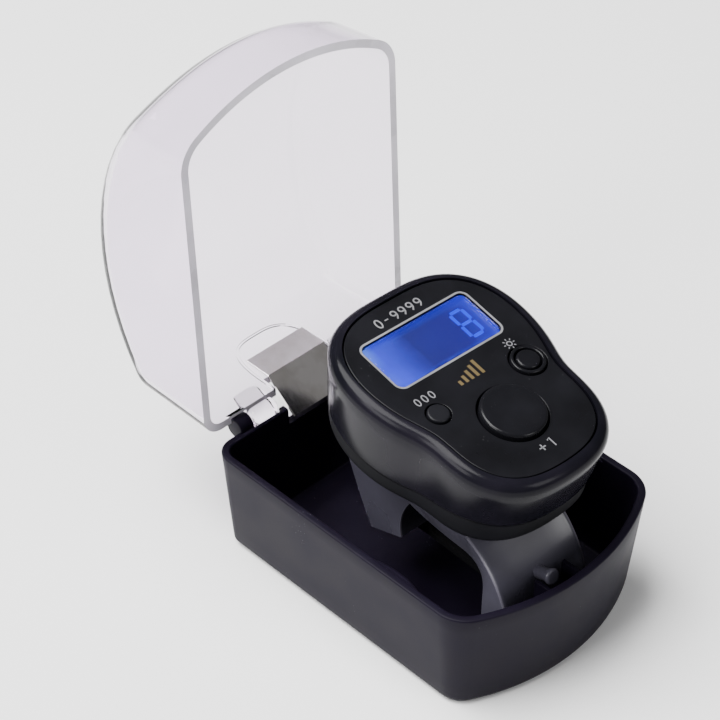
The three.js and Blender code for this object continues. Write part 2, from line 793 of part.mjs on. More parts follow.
// The saddle's side view at x: front arch, neck, seat under the shell, back arm and finger hole.
function saddleOutline(x) {
  const outline = [];
  const footAngle = Math.asin(RING.footHeight / RING.archRadius);
  for (let k = 0; k <= 2 * STEPS.edge; k += 1) {
    const angle = THREE.MathUtils.lerp(footAngle, RING.archTop, k / (2 * STEPS.edge));
    const z = RING.archRadius * Math.sin(angle);
    const fade = Math.min(1, (2 * STEPS.edge - k) / 2);
    const radius = RING.archRadius - fade * dishDepth(x, z);
    outline.push(levelPoint(-radius * Math.cos(angle), radius * Math.sin(angle)));
  }
  const neckFoot = outline.pop();
  const seatFront = new THREE.Vector2(RING.neckOffset, undersideHeight(RING.neckOffset) - FIT.gap);
  const neckPull = levelPoint(-RING.neckPullY, RING.neckPullZ);
  const neck = new THREE.QuadraticBezierCurve(neckFoot, neckPull, seatFront);
  outline.push(...curvePoints(neck, STEPS.edge));
  for (let k = 0; k < 2 * STEPS.edge; k += 1) {
    const w = THREE.MathUtils.lerp(RING.neckOffset, RING.backOffset, k / (2 * STEPS.edge));
    outline.push(new THREE.Vector2(w, undersideHeight(w) - FIT.gap));
  }
  const seatBack = new THREE.Vector2(RING.backOffset, undersideHeight(RING.backOffset) - FIT.gap);
  const backEnd = levelPoint(RING.backEndY, RING.backEndZ);
  const backPull = levelPoint(RING.backPullY, RING.backPullZ);
  const back = new THREE.QuadraticBezierCurve(seatBack, backPull, backEnd);
  outline.push(...curvePoints(back, STEPS.edge), backEnd);
  const holeCorner = levelPoint(RING.holeCornerY, RING.holeCornerZ);
  const backTip = levelPoint(RING.backTipY, RING.backTipZ);
  const holePull = levelPoint(RING.holePullY, RING.holePullZ);
  const holeBack = new THREE.QuadraticBezierCurve(backTip, holePull, holeCorner);
  outline.push(...curvePoints(holeBack, STEPS.edge), holeCorner);
  const holeRound = new THREE.QuadraticBezierCurve(
    levelPoint(-RING.ceilingLength, RING.ceilingHeight),
    levelPoint(-RING.holeFrontLength, RING.ceilingHeight),
    levelPoint(-RING.holeFrontLength, RING.holeFrontHeight),
  );
  outline.push(...holeRound.getPoints(STEPS.edge), levelPoint(-RING.holeFrontLength, RING.footHeight));
  return outline;
}

// Middle of the front arm's dished face at a height.
function dishFace(z) {
  return Math.sqrt(RING.archRadius ** 2 - z ** 2) - dishDepth(0, z);
}

function makeRingSaddle() {
  const inner = RING.halfWidth - RING.rimWidth;
  const shares = [-1, -0.92, -0.78, -0.55, -0.2, 0.2, 0.55, 0.78, 0.92, 1];
  const across = [-RING.halfWidth, ...shares.map((share) => share * inner), RING.halfWidth];
  const rings = across.map((x) => saddleOutline(x).map((p) => new THREE.Vector3(x, p.x, p.y)));
  let saddle = loft(rings, sideCap(saddleOutline(RING.halfWidth)));
  const direction = (reach) => {
    const y = -dishFace(PEG.z) - reach * Math.cos(PEG.rise);
    const p = levelPoint(y, PEG.z + reach * Math.sin(PEG.rise));
    return new THREE.Vector3(0, p.x, p.y);
  };
  const headRoot = PEG.length - PEG.headHeight;
  saddle = saddle.add(rod(PEG.stem, direction(-2 * FIT.root), direction(headRoot + FIT.root)));
  saddle = saddle.add(rod(PEG.head, direction(headRoot), direction(PEG.length)));
  const slotLow = STRAP.low - FIT.gap;
  const slotTop = STRAP.low + STRAP.thickness + FIT.gap;
  const reach = RING.archRadius + FIT.overrun;
  const inside = RING.holeFrontLength - FIT.overrun;
  const slotFloor = [levelPoint(-reach, slotLow), levelPoint(-inside, slotLow)];
  const slot = [...slotFloor, levelPoint(-inside, slotTop), levelPoint(-reach, slotTop)];
  const slotHalf = STRAP.halfWidth + FIT.gap;
  saddle = saddle.subtract(slab(slot, [-slotHalf, slotHalf]));
  for (const screw of ringScrews) {
    const seat = undersideHeight(screw.w) - FIT.gap;
    const tip = seat - RING_SCREW.bite - FIT.gap;
    saddle = saddle.subtract(disc(SCREW.shank + FIT.gap, screw, tip, seat + FIT.overrun));
  }
  return saddle;
}

// The strap's side view: root under the back arm, band under the finger, tip in the front slot.
function makeRingStrap() {
  const slope = (RING.backTipZ - RING.backEndZ) / (RING.backEndY - RING.backTipY);
  const underArm = (y) => RING.backEndZ + slope * (RING.backEndY - y) - FIT.bedGap;
  const rootFront = RING.backTipY + STRAP.rootBack;
  const rootBack = RING.backEndY - STRAP.rootBack;
  const top = STRAP.low + STRAP.thickness;
  const outline = [
    levelPoint(-STRAP.tip, STRAP.low),
    levelPoint(-RING.holeFrontLength, STRAP.low),
    levelPoint(0, STRAP.low - STRAP.sag),
    levelPoint(rootFront, STRAP.low - STRAP.sag),
    levelPoint(rootBack, STRAP.low - STRAP.rootDrop),
    levelPoint(rootBack, underArm(rootBack)),
    levelPoint(rootFront, underArm(rootFront)),
    levelPoint(rootFront - STRAP.thickness, top - STRAP.sag),
    levelPoint(0, top - STRAP.sag),
    levelPoint(-RING.holeFrontLength, top),
    levelPoint(-STRAP.tip, top),
  ];
  let strap = slab(outline, [-STRAP.halfWidth, STRAP.halfWidth]);
  for (let k = 0; k < STRAP.holes; k += 1) {
    const y = k * STRAP.holePitch - STRAP.firstHole;
    const low = levelPoint(y, STRAP.low - FIT.overrun);
    const high = levelPoint(y, top + FIT.overrun);
    const [from, to] = [low, high].map((p) => new THREE.Vector3(0, p.x, p.y));
    strap = strap.subtract(rod(STRAP.holeRadius, from, to));
  }
  return strap;
}

const counterInCase = new THREE.Group();
addPiece(counterInCase, 'case_base', makeCaseBase(), COLOURS.blackPlastic);
addPiece(counterInCase, 'hinge_spring', makeHingeSpring(), COLOURS.steel);

const hingeLine = new THREE.Group();
hingeLine.position.set(0, hingeY, hingeZ);
hingeLine.rotation.x = -HINGE.openAngle;
const closedLid = new THREE.Group();
closedLid.position.set(0, -hingeY, -hingeZ);
addPiece(closedLid, 'case_lid', makeCaseLid(), COLOURS.clear);
hingeLine.add(closedLid);
counterInCase.add(hingeLine);

const face = new THREE.Group();
face.position.set(0, HEAD.behindFront - backWall, FORK.top + HEAD.aboveFork);
face.rotation.x = HEAD.tilt;
const head = new THREE.Group();
head.rotation.z = HEAD.turn;
face.add(head);
counterInCase.add(face);

addPiece(head, 'upper_shell', makeUpperShell(), COLOURS.glossBlack);
addPiece(head, 'lower_shell', makeLowerShell(), COLOURS.mattBlack);
addPiece(head, 'face_plate', makeFacePlate(), COLOURS.glossBlack);
addPiece(head, 'display_window', makePane(windowLow, windowTop), COLOURS.clear);
addPiece(head, 'display_panel', makePane(panelLow, panelTop), COLOURS.display);
addPiece(head, 'light_guide', makeLightGuide(), COLOURS.clear);
addPiece(head, 'backlight_led', makeLed(), COLOURS.display);
addPiece(head, 'zebra_strip', makeZebraStrip(), COLOURS.rubber);
addPiece(head, 'circuit_board', makeBoard(), COLOURS.board);
addPiece(head, 'chip_blob', makeChipBlob(), COLOURS.mattBlack);
addPiece(head, 'count_button', makeButton(COUNT, STEPS.round), COLOURS.glossBlack);
addPiece(head, 'reset_button', makeButton(RESET, STEPS.small), COLOURS.mattBlack);
addPiece(head, 'light_button', makeButton(LIGHT, STEPS.small), COLOURS.glossBlack);
addPiece(head, 'light_collar', makeCollar(), COLOURS.glossBlack);
addPiece(head, 'count_switch', makeSwitch(COUNT, SWITCH.countHalf), COLOURS.mattBlack);
addPiece(head, 'reset_switch', makeSwitch(RESET, SWITCH.smallHalf), COLOURS.mattBlack);
addPiece(head, 'light_switch', makeSwitch(LIGHT, SWITCH.smallHalf), COLOURS.mattBlack);
addPiece(head, 'cell_front', makeCell(-CELL.pitch / 2), COLOURS.steel);
addPiece(head, 'cell_back', makeCell(CELL.pitch / 2), COLOURS.steel);
const contactAt = (w) => makeContact(w, CONTACT.halfLength, contactTop);
addPiece(head, 'contact_negative', contactAt(-CELL.pitch / 2), COLOURS.steel);
addPiece(head, 'contact_positive', contactAt(CELL.pitch / 2), COLOURS.steel);
const bridge = makeContact(0, CELL.radius + CONTACT.halfWidth, cellLow - FIT.gap);
addPiece(head, 'cell_bridge', bridge, COLOURS.steel);
for (const screw of shellScrews) {
  const seat = screwSeat(screw) - FIT.gap;
  addPiece(head, screw.name, makeScrew(screw, seat, -SCREW.tip), COLOURS.steel);
}
for (const screw of ringScrews) {
  const floor = undersideHeight(screw.w);
  const tip = floor - FIT.gap - RING_SCREW.bite;
  addPiece(head, screw.name, makeScrew(screw, floor + LOWER.floor + FIT.gap, tip), COLOURS.steel);
}
addPiece(head, 'ring_saddle', makeRingSaddle(), COLOURS.slate);
addPiece(head, 'ring_strap', makeRingStrap(), COLOURS.rubber);

export default counterInCase;
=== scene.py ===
import math

import bmesh
import bpy
import numpy as np
from mathutils import Matrix, Vector


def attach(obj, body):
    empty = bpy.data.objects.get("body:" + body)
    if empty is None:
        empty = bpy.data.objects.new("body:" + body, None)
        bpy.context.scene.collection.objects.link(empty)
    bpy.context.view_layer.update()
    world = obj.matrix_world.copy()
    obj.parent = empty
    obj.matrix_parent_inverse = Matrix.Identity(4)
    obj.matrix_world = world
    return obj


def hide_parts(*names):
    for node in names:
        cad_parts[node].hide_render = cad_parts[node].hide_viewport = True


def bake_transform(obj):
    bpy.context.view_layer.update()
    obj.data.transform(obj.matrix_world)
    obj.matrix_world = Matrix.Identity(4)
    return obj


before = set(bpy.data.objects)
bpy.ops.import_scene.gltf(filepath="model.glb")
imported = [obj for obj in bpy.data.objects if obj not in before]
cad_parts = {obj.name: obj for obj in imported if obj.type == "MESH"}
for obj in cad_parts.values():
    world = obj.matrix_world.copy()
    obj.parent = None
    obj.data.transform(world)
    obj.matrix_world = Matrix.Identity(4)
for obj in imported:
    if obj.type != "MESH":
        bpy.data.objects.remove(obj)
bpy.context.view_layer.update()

# ---- Table top, daylight and the viewpoint ----
# A matt white sheet that the case stands on, lit by soft panels to the left, in front and above and by
# a white room, seen from in front and to the left, a little over the rim of the case.
mm = 0.001

table_paint = bpy.data.materials.new("table_white")
table_paint.use_nodes = True
table_shader = table_paint.node_tree.nodes["Principled BSDF"]
table_shader.inputs["Base Color"].default_value = (0.94, 0.94, 0.94, 1)
table_shader.inputs["Roughness"].default_value = 0.8

table_mesh = bpy.data.meshes.new("table_top")
table_half = 4
table_corners = [(x * table_half, y * table_half, 0) for x, y in ((-1, -1), (1, -1), (1, 1), (-1, 1))]
table_mesh.from_pydata(table_corners, [], [(0, 1, 2, 3)])
table_mesh.materials.append(table_paint)
table_top = bpy.data.objects.new("table_top", table_mesh)
bpy.context.scene.collection.objects.link(table_top)

room = bpy.data.worlds.new("white_room")
room.use_nodes = True
room_light = room.node_tree.nodes["Background"]
room_light.inputs["Color"].default_value = (1, 1, 1, 1)
room_light.inputs["Strength"].default_value = 0.2
bpy.context.scene.world = room


def soft_panel(name, place, aim, size, watts):
    """A square panel light at a place, turned to face a point."""
    light = bpy.data.lights.new(name, "AREA")
    light.size = size
    light.energy = watts
    panel = bpy.data.objects.new(name, light)
    panel.location = place
    panel.rotation_euler = (Vector(aim) - Vector(place)).to_track_quat("-Z", "Y").to_euler()
    bpy.context.scene.collection.objects.link(panel)


case_middle = (0, 0, 0.03)
soft_panel("panel_left", (-0.6, 0.1, 0.5), case_middle, 0.3, 3.2)
soft_panel("panel_front", (0.2, -0.75, 0.5), case_middle, 0.35, 2.4)
soft_panel("panel_above", (-0.25, 0.3, 0.9), case_middle, 0.7, 29)

lens = bpy.data.cameras.new("viewpoint")
lens_px, picture_px = 2358.35, 720
lens.sensor_width = 36
lens.lens = lens_px * 36 / picture_px
lens.clip_start = 0.01
viewpoint = bpy.data.objects.new("viewpoint", lens)
right = Vector((0.71190, -0.70223, 0.00876))
down = Vector((-0.44993, -0.46563, -0.76207))
forward = Vector((0.53922, 0.53857, -0.64744))
turned = Matrix((right, -down, -forward)).transposed().to_4x4()
viewpoint_place = (-0.199303, -0.180129, 0.271205)
viewpoint.matrix_world = Matrix.Translation(viewpoint_place) @ turned
bpy.context.scene.collection.objects.link(viewpoint)
bpy.context.scene.camera = viewpoint

# ---- Case base ----
# The tray that the counter stands in: one black satin moulding, walls drawn in towards the foot,
# bowed in front, with the lid's knuckles behind, a pad inside each long wall and a two-rib fork.
tray_half, tray_length, tray_bow = 22 * mm, 59.3 * mm, 6.7 * mm
tray_front_corner, tray_back_corner, tray_least_corner = 6.05 * mm, 3.55 * mm, 0.35 * mm
tray_height, tray_taper, tray_wall, tray_floor = 19.85 * mm, 1.64 * mm, 1.35 * mm, 1.5 * mm
tray_foot, tray_rim = 1.5 * mm, 0.3 * mm
pad_y, pad_half, pad_reach, pad_top = -9.5 * mm, 5.5 * mm, 1.1 * mm, 19.5 * mm
fork_slot, fork_rib, fork_end, fork_top = 5.5 * mm, 0.7 * mm, -22.25 * mm, 15.3 * mm
hinge_y, hinge_z = 30.81 * mm, 19.9 * mm
knuckle_in, knuckle_out, knuckle_radius = 13.5 * mm, 16.2 * mm, 1.75 * mm
lug_in, lug_out, lug_radius = 7.9 * mm, 12.9 * mm, 1.7 * mm
pin_radius, pin_length = 0.8 * mm, 2 * mm
spring_slot, spring_slot_depth = 6.8 * mm, 3.05 * mm
pad_edge, hinge_gap, web_low = 0.5 * mm, 0.3 * mm, 3.4 * mm


def case_outline(inset):
    """Plan of the case moved in by each inset: a flat arc for the bowed front, an arc at each front
    corner, straight sides, an arc at each back corner and a straight back, anticlockwise from the
    middle of the front."""
    inset = np.atleast_1d(np.asarray(inset, float))[:, None]
    half, back = tray_half - inset, tray_length / 2 - inset
    whole = (tray_half**2 + tray_bow**2) / (2 * tray_bow)
    bow_y, bow = whole - tray_length / 2, whole - inset
    front = np.maximum(tray_front_corner - inset, tray_least_corner)
    rear = np.maximum(tray_back_corner - inset, tray_least_corner)
    swing = np.arcsin((half - front) / (bow - front))
    a = swing * (np.arange(18) + 0.5) / 18.5
    bowed = np.stack([bow * np.sin(a), bow_y - bow * np.cos(a)], -1)
    a = swing + (np.pi / 2 - swing) * np.linspace(0, 1, 13)
    corner_y = bow_y - (bow - front) * np.cos(swing)
    cornered = np.stack([half - front + front * np.sin(a), corner_y - front * np.cos(a)], -1)
    share = np.linspace(0, 1, 14)[1:-1]
    side = np.stack([half + 0 * share, corner_y + (back - rear - corner_y) * share], -1)
    a = np.linspace(0, np.pi / 2, 11)
    turned_in = np.stack([half - rear + rear * np.cos(a), back - rear + rear * np.sin(a)], -1)
    across = (half - rear) * (1 - np.linspace(0, 1, 12)[1:-1])
    behind = np.stack([across, back + 0 * across], -1)
    right_half = np.concatenate([bowed, cornered, side, turned_in, behind], 1)
    left_half = right_half[:, ::-1] * np.array([-1, 1])
    return np.concatenate([right_half, left_half], 1)


def bend(steps, radius=1.0):
    """A quarter round: how far along (1 - cos) and how far up (sin) at each step, from 0 to 90 degrees."""
    a = np.linspace(0, np.pi / 2, steps)
    return radius * (1 - np.cos(a)), radius * np.sin(a)


def at_heights(outline, heights):
    """The rings of an outline, each lifted to its height; a height may also differ along its ring."""
    heights = np.asarray(heights, float)
    heights = heights[:, None] if heights.ndim == 1 else heights
    return np.concatenate([outline, np.broadcast_to(heights, outline.shape[:2])[..., None]], -1)


def skin(rings, ends=True, round_again=False):
    """A closed surface through rings of equal count: four-cornered faces from ring to ring, and at each
    end a fan from the ring's middle, or nothing where the end rings fold flat, or the last ring joined
    to the first."""
    rings = np.asarray(rings, float)
    rows, count, _ = rings.shape
    here = np.arange(rows * count).reshape(rows, count)
    here = np.vstack([here, here[:1]]) if round_again else here
    beside = np.roll(here, -1, 1)
    faces = np.stack([here[:-1], beside[:-1], beside[1:], here[1:]], -1).reshape(-1, 4).tolist()
    points = rings.reshape(-1, 3)
    if ends and not round_again:
        points = np.vstack([points, rings[0].mean(0), rings[-1].mean(0)])
        low, high = np.full(count, rows * count), np.full(count, rows * count + 1)
        faces += np.stack([low, beside[0], here[0]], -1).tolist()
        faces += np.stack([high, here[-1], beside[-1]], -1).tolist()
    return points, faces


def outward(part):
    """The part with its faces turned the other way if they enclose a negative volume."""
    points, faces = part
    corners = np.array([[f[0], f[i], f[i + 1]] for f in faces for i in range(1, len(f) - 1)])
    a, b, c = points[corners[:, 0]], points[corners[:, 1]], points[corners[:, 2]]
    inside_out = np.einsum("ij,ij->i", a, np.cross(b, c)).sum() < 0
    return points, [f[::-1] for f in faces] if inside_out else faces


def placed(move, parts):
    """Closed parts, each with its points moved by the same function."""
    return [(move(points), faces) for points, faces in parts]


def piece(name, parts, material, crease=35):
    """An object of one or more closed parts, welded where points coincide, smooth except over a sharp
    crease."""
    points, faces, first = [], [], 0
    for part in parts:
        part_points, part_faces = outward(part)
        points.append(part_points)
        faces += [[first + k for k in f] for f in part_faces]
        first += len(part_points)
    mesh = bpy.data.meshes.new(name)
    mesh.from_pydata(np.vstack(points).tolist(), [], faces)
    tool = bmesh.new()
    tool.from_mesh(mesh)
    bmesh.ops.remove_doubles(tool, verts=tool.verts, dist=1e-7)
    bmesh.ops.dissolve_degenerate(tool, edges=tool.edges, dist=1e-7)
    tool.to_mesh(mesh)
    tool.free()
    mesh.shade_smooth()
    mesh.set_sharp_from_angle(angle=math.radians(crease))
    mesh.materials.append(material)
    made = bpy.data.objects.new(name, mesh)
    bpy.context.scene.collection.objects.link(made)
    return made


def carve(made, cutters, crease=35, operation="DIFFERENCE"):
    """Takes closed parts away from a finished piece, or with UNION joins them to it."""
    tool = piece("cutter", cutters, made.data.materials[0])
    cut = made.modifiers.new("cut", "BOOLEAN")
    cut.operation = operation
    cut.solver = "EXACT"
    cut.use_self = True
    cut.object = tool
    bpy.context.view_layer.update()
    result = bpy.data.meshes.new_from_object(made.evaluated_get(bpy.context.evaluated_depsgraph_get()))
    made.modifiers.clear()
    made.data = result
    tidied = bmesh.new()
    tidied.from_mesh(result)
    bmesh.ops.remove_doubles(tidied, verts=tidied.verts, dist=1e-6)
    bmesh.ops.dissolve_degenerate(tidied, edges=tidied.edges, dist=1e-6)
    bmesh.ops.triangulate(tidied, faces=[face for face in tidied.faces if len(face.verts) > 4])
    tidied.to_mesh(result)
    tidied.free()
    result.shade_smooth()
    result.set_sharp_from_angle(angle=math.radians(crease))
    bpy.data.objects.remove(tool)
    return made


def bar(x, y, z, ease=0.15 * mm):
    """An upright block between two x, two y and two z values, its upright and level edges eased: rounded
    rectangles, drawn in by the ease at the first and the last height."""
    insets = np.concatenate([ease - bend(4, ease)[1], bend(4, ease)[0] * 0, (ease - bend(4, ease)[1])[::-1]])
    rise = bend(4, ease)[0]
    heights = np.concatenate([z[0] + rise, [z[0] + ease] * 4, (z[1] - rise)[::-1]])
    a = np.linspace(0, 2 * np.pi, 17)[:-1]
    signs = np.stack([np.sign(np.cos(a + 1e-9)), np.sign(np.sin(a + 1e-9))], -1)
    half = np.array([(x[1] - x[0]) / 2 - ease, (y[1] - y[0]) / 2 - ease])
    middle = np.array([(x[0] + x[1]) / 2, (y[0] + y[1]) / 2])
    spread = np.stack([np.cos(a), np.sin(a)], -1)
    rings = middle + signs * half + spread * (ease - insets)[:, None, None]
    return skin(at_heights(rings, heights))


def barrel(x, radius, y=hinge_y, z=hinge_z, ease=0.15 * mm):
    """A round bar along x with eased ends."""
    along, up = bend(4, ease)
    stations = np.concatenate([x[0] + along, (x[1] - along)[::-1]])
    radii = np.concatenate([radius - ease + up, (radius - ease + up)[::-1]])
    a = np.linspace(0, 2 * np.pi, 41)[:-1]
    rings = np.stack(np.broadcast_arrays(
        stations[:, None], y + radii[:, None] * np.cos(a), z + radii[:, None] * np.sin(a)), -1)
    return skin(rings)


def ribbon(path, width, low=0.0, high=0.015 * mm, closed=False):
    """A flat line of a given width along (u, w) points: each point moved half the width to both sides."""
    path = np.asarray(path, float)
    ahead = np.roll(path, -1, 0) - np.roll(path, 1, 0)
    if not closed:
        ahead[0], ahead[-1] = path[1] - path[0], path[-1] - path[-2]
    aside = np.stack([-ahead[:, 1], ahead[:, 0]], -1) / np.linalg.norm(ahead, axis=1)[:, None] * width / 2
    a, b = path - aside, path + aside
    corners = ((a, low), (b, low), (b, high), (a, high))
    rings = np.stack([np.column_stack([edge, np.full(len(a), height)]) for edge, height in corners], 1)
    return skin(rings, round_again=closed)


def drawn_in(z):
    """How far the tray's wall leans in at a height: the whole taper at the foot, nothing at the rim."""
    return tray_taper * (1 - z / tray_height)


# Effects shared by the plastics: cloudy tone and gloss, a fine grain, and specks of lint.
def effect_group(name, inputs, outputs):
    """An empty shader node group with named number or colour sockets."""
    group = bpy.data.node_groups.new(name, "ShaderNodeTree")
    for label, kind, value in inputs:
        socket = group.interface.new_socket(name=label, in_out="INPUT", socket_type=kind)
        socket.default_value = value
    for label, kind in outputs:
        group.interface.new_socket(name=label, in_out="OUTPUT", socket_type=kind)
    return group, group.nodes.new("NodeGroupInput"), group.nodes.new("NodeGroupOutput")


FLOAT, COLOUR = "NodeSocketFloat", "NodeSocketColor"


def blank_material(name):
    """A new material with its node tree and its Principled shader."""
    material = bpy.data.materials.new(name)
    material.use_nodes = True
    return material, material.node_tree, material.node_tree.nodes["Principled BSDF"]


def object_place(tree):
    """The object's own coordinates, as a socket."""
    return tree.nodes.new("ShaderNodeTexCoord").outputs["Object"]


def use_group(tree, group, **values):
    """A shared effect in a material, with the sockets named set to their values."""
    node = tree.nodes.new("ShaderNodeGroup")
    node.node_tree = group
    for label, value in values.items():
        node.inputs[label].default_value = value
    return node


def noise(tree, coordinates, scale, detail=3):
    """Cloudy noise of a given scale on object coordinates."""
    node = tree.nodes.new("ShaderNodeTexNoise")
    node.inputs["Scale"].default_value = scale
    node.inputs["Detail"].default_value = detail
    tree.links.new(coordinates, node.inputs["Vector"])
    return node.outputs["Fac"]


def spread_to(tree, value, low, high, to_low, to_high):
    """Maps a value from one range to another; the ends may be numbers or sockets."""
    node = tree.nodes.new("ShaderNodeMapRange")
    tree.links.new(value, node.inputs["Value"])
    for label, end in (("From Min", low), ("From Max", high), ("To Min", to_low), ("To Max", to_high)):
        if isinstance(end, (int, float)):
            node.inputs[label].default_value = end
        else:
            tree.links.new(end, node.inputs[label])
    return node.outputs["Result"]


def sum_of(tree, operation, a, b):
    """One step of arithmetic on two values."""
    node = tree.nodes.new("ShaderNodeMath")
    node.operation = operation
    for k, end in enumerate((a, b)):
        if isinstance(end, (int, float)):
            node.inputs[k].default_value = end
        else:
            tree.links.new(end, node.inputs[k])
    return node.outputs["Value"]


def mix_colours(tree, share, a, b):
    """Mixes two colours by a share."""
    node = tree.nodes.new("ShaderNodeMix")
    node.data_type = "RGBA"
    for label, end in (("Factor", share), ("A", a), ("B", b)):
        socket = [s for s in node.inputs if s.name == label and s.enabled][0]
        if isinstance(end, (int, float, tuple)):
            socket.default_value = end
        else:
            tree.links.new(end, socket)
    return [s for s in node.outputs if s.enabled][0]


moulded_skin, skin_in, skin_out = effect_group(
    "moulded_skin",
    [("Dark", COLOUR, (0, 0, 0, 1)), ("Light", COLOUR, (1, 1, 1, 1)), ("Roughness", FLOAT, 0.4),
     ("Spread", FLOAT, 0.1), ("Cloud", FLOAT, 90), ("Grain", FLOAT, 3000)],
    [("Colour", COLOUR), ("Roughness", FLOAT), ("Height", FLOAT)])
place = object_place(moulded_skin)
cloud = moulded_skin.nodes.new("ShaderNodeTexNoise")
grain = moulded_skin.nodes.new("ShaderNodeTexNoise")
for texture, label in ((cloud, "Cloud"), (grain, "Grain")):
    texture.inputs["Detail"].default_value = 4
    moulded_skin.links.new(place, texture.inputs["Vector"])
    moulded_skin.links.new(skin_in.outputs[label], texture.inputs["Scale"])
tone = spread_to(moulded_skin, cloud.outputs["Fac"], 0.35, 0.65, 0, 1)
colour = mix_colours(moulded_skin, tone, skin_in.outputs["Dark"], skin_in.outputs["Light"])
off_mean = sum_of(moulded_skin, "SUBTRACT", tone, 0.5)
swing = sum_of(moulded_skin, "MULTIPLY", off_mean, skin_in.outputs["Spread"])
gloss = sum_of(moulded_skin, "ADD", skin_in.outputs["Roughness"], swing)
moulded_skin.links.new(colour, skin_out.inputs["Colour"])
moulded_skin.links.new(gloss, skin_out.inputs["Roughness"])
moulded_skin.links.new(grain.outputs["Fac"], skin_out.inputs["Height"])

lint, lint_in, lint_out = effect_group(
    "lint", [("Colour", COLOUR, (0, 0, 0, 1)), ("Lint", COLOUR, (0.4, 0.4, 0.42, 1)), ("Amount", FLOAT, 0.5)],
    [("Colour", COLOUR)])
place = object_place(lint)
specks = lint.nodes.new("ShaderNodeTexVoronoi")
specks.inputs["Scale"].default_value = 1600
lint.links.new(place, specks.inputs["Vector"])
near = spread_to(lint, specks.outputs["Distance"], 0.16, 0.05, 0, 1)
patch = spread_to(lint, noise(lint, place, 260), 0.62, 0.7, 0, 1)
share = sum_of(lint, "MULTIPLY", sum_of(lint, "MULTIPLY", near, patch), lint_in.outputs["Amount"])
linty = mix_colours(lint, share, lint_in.outputs["Colour"], lint_in.outputs["Lint"])
lint.links.new(linty, lint_out.inputs["Colour"])


def moulded(name, dark, light, roughness, spread, relief, lint_amount, specular=0.5):
    """A moulded plastic: cloudy between two tones and two glosses, a fine grain, and a little lint."""
    material, tree, shader = blank_material(name)
    skin_node = use_group(tree, moulded_skin, Dark=dark, Light=light, Roughness=roughness, Spread=spread,
                          Cloud=90, Grain=3000)
    lint_node = use_group(tree, lint, Amount=lint_amount)
    bump = tree.nodes.new("ShaderNodeBump")
    bump.inputs["Strength"].default_value = 1
    bump.inputs["Distance"].default_value = relief
    tree.links.new(skin_node.outputs["Colour"], lint_node.inputs["Colour"])
    tree.links.new(lint_node.outputs["Colour"], shader.inputs["Base Color"])
    tree.links.new(skin_node.outputs["Roughness"], shader.inputs["Roughness"])
    tree.links.new(skin_node.outputs["Height"], bump.inputs["Height"])
    tree.links.new(bump.outputs["Normal"], shader.inputs["Normal"])
    shader.inputs["Specular IOR Level"].default_value = specular
    return material


case_black = moulded("case_black", (0.0045, 0.003, 0.0075, 1), (0.006, 0.0045, 0.0105, 1), 0.46, 0.08,
                     0.004 * mm, 0.25, specular=0.07)

foot_in, foot_up = bend(9, tray_foot)
rim_in, rim_up = bend(5, tray_rim)
inner_foot = 0.35 * mm
hollow_in, hollow_up = bend(7, inner_foot)
outer_z = np.concatenate([foot_in, np.linspace(tray_foot, tray_height - tray_rim, 8)[1:-1]])
outer_inset = drawn_in(outer_z) + np.concatenate([tray_foot - foot_up, np.zeros(6)])
rim_inset = np.concatenate([rim_in, tray_wall - rim_in[::-1]])
rim_z = np.concatenate([tray_height - tray_rim + rim_up, (tray_height - tray_rim + rim_up)[::-1]])
inner_z = np.linspace(tray_height - tray_rim, tray_floor + inner_foot, 8)[1:]
inner_inset = drawn_in(inner_z) + tray_wall
floor_z = tray_floor + hollow_in[::-1]
floor_inset = drawn_in(floor_z) + tray_wall + (inner_foot - hollow_up)[::-1]
tray_insets = np.concatenate([outer_inset, rim_inset, inner_inset, floor_inset])
tray_heights = np.concatenate([outer_z, rim_z, inner_z, floor_z])
tray_parts = [skin(at_heights(case_outline(tray_insets), tray_heights))]

for side in (-1, 1):
    pad_radius = (pad_half**2 + pad_reach**2) / (2 * pad_reach)
    pad_face = tray_half - tray_wall - pad_reach
    swing_out = math.asin(pad_half / pad_radius)
    a = np.linspace(-swing_out, swing_out, 25)
    ease_in, ease_up = bend(5, pad_edge)
    pad_z = np.concatenate([[tray_floor * 0.5], pad_top - pad_edge + ease_up])
    pad_ease = np.concatenate([[0], ease_in])
    lean = drawn_in(pad_z)[:, None]
    bulge_x = pad_face + pad_radius - (pad_radius - pad_ease[:, None]) * np.cos(a)
    bulge_y = pad_y + (pad_radius - pad_ease[:, None]) * np.sin(a)
    root_x = tray_half - 0.5 * tray_wall - lean + 0 * a[:1]
    bulge = np.stack([np.minimum(bulge_x, root_x), bulge_y], -1)
    root = np.stack(np.broadcast_arrays(root_x, np.array([[pad_y + pad_half, pad_y, pad_y - pad_half]])), -1)
    pad_rings = np.concatenate([bulge, root], 1) * np.array([side, 1])
    tray_parts.append(skin(at_heights(pad_rings, pad_z)))
    fork_x = sorted([side * fork_slot / 2, side * (fork_slot / 2 + fork_rib)])
    rib, rib_faces = bar(fork_x, (-tray_length / 2 + tray_wall / 2, fork_end), (tray_floor * 0.6, fork_top))
    rib[:, 1] += np.where(rib[:, 1] < fork_end - 2 * mm, drawn_in(rib[:, 2]), 0)
    tray_parts.append((rib, rib_faces))
    web_x = sorted([side * knuckle_in, side * knuckle_out])
    tray_parts.append(bar(web_x, (tray_length / 2 - tray_wall / 2, hinge_y),
                          (hinge_z - web_low, tray_height - tray_rim)))
    tray_parts.append(barrel(web_x, knuckle_radius))

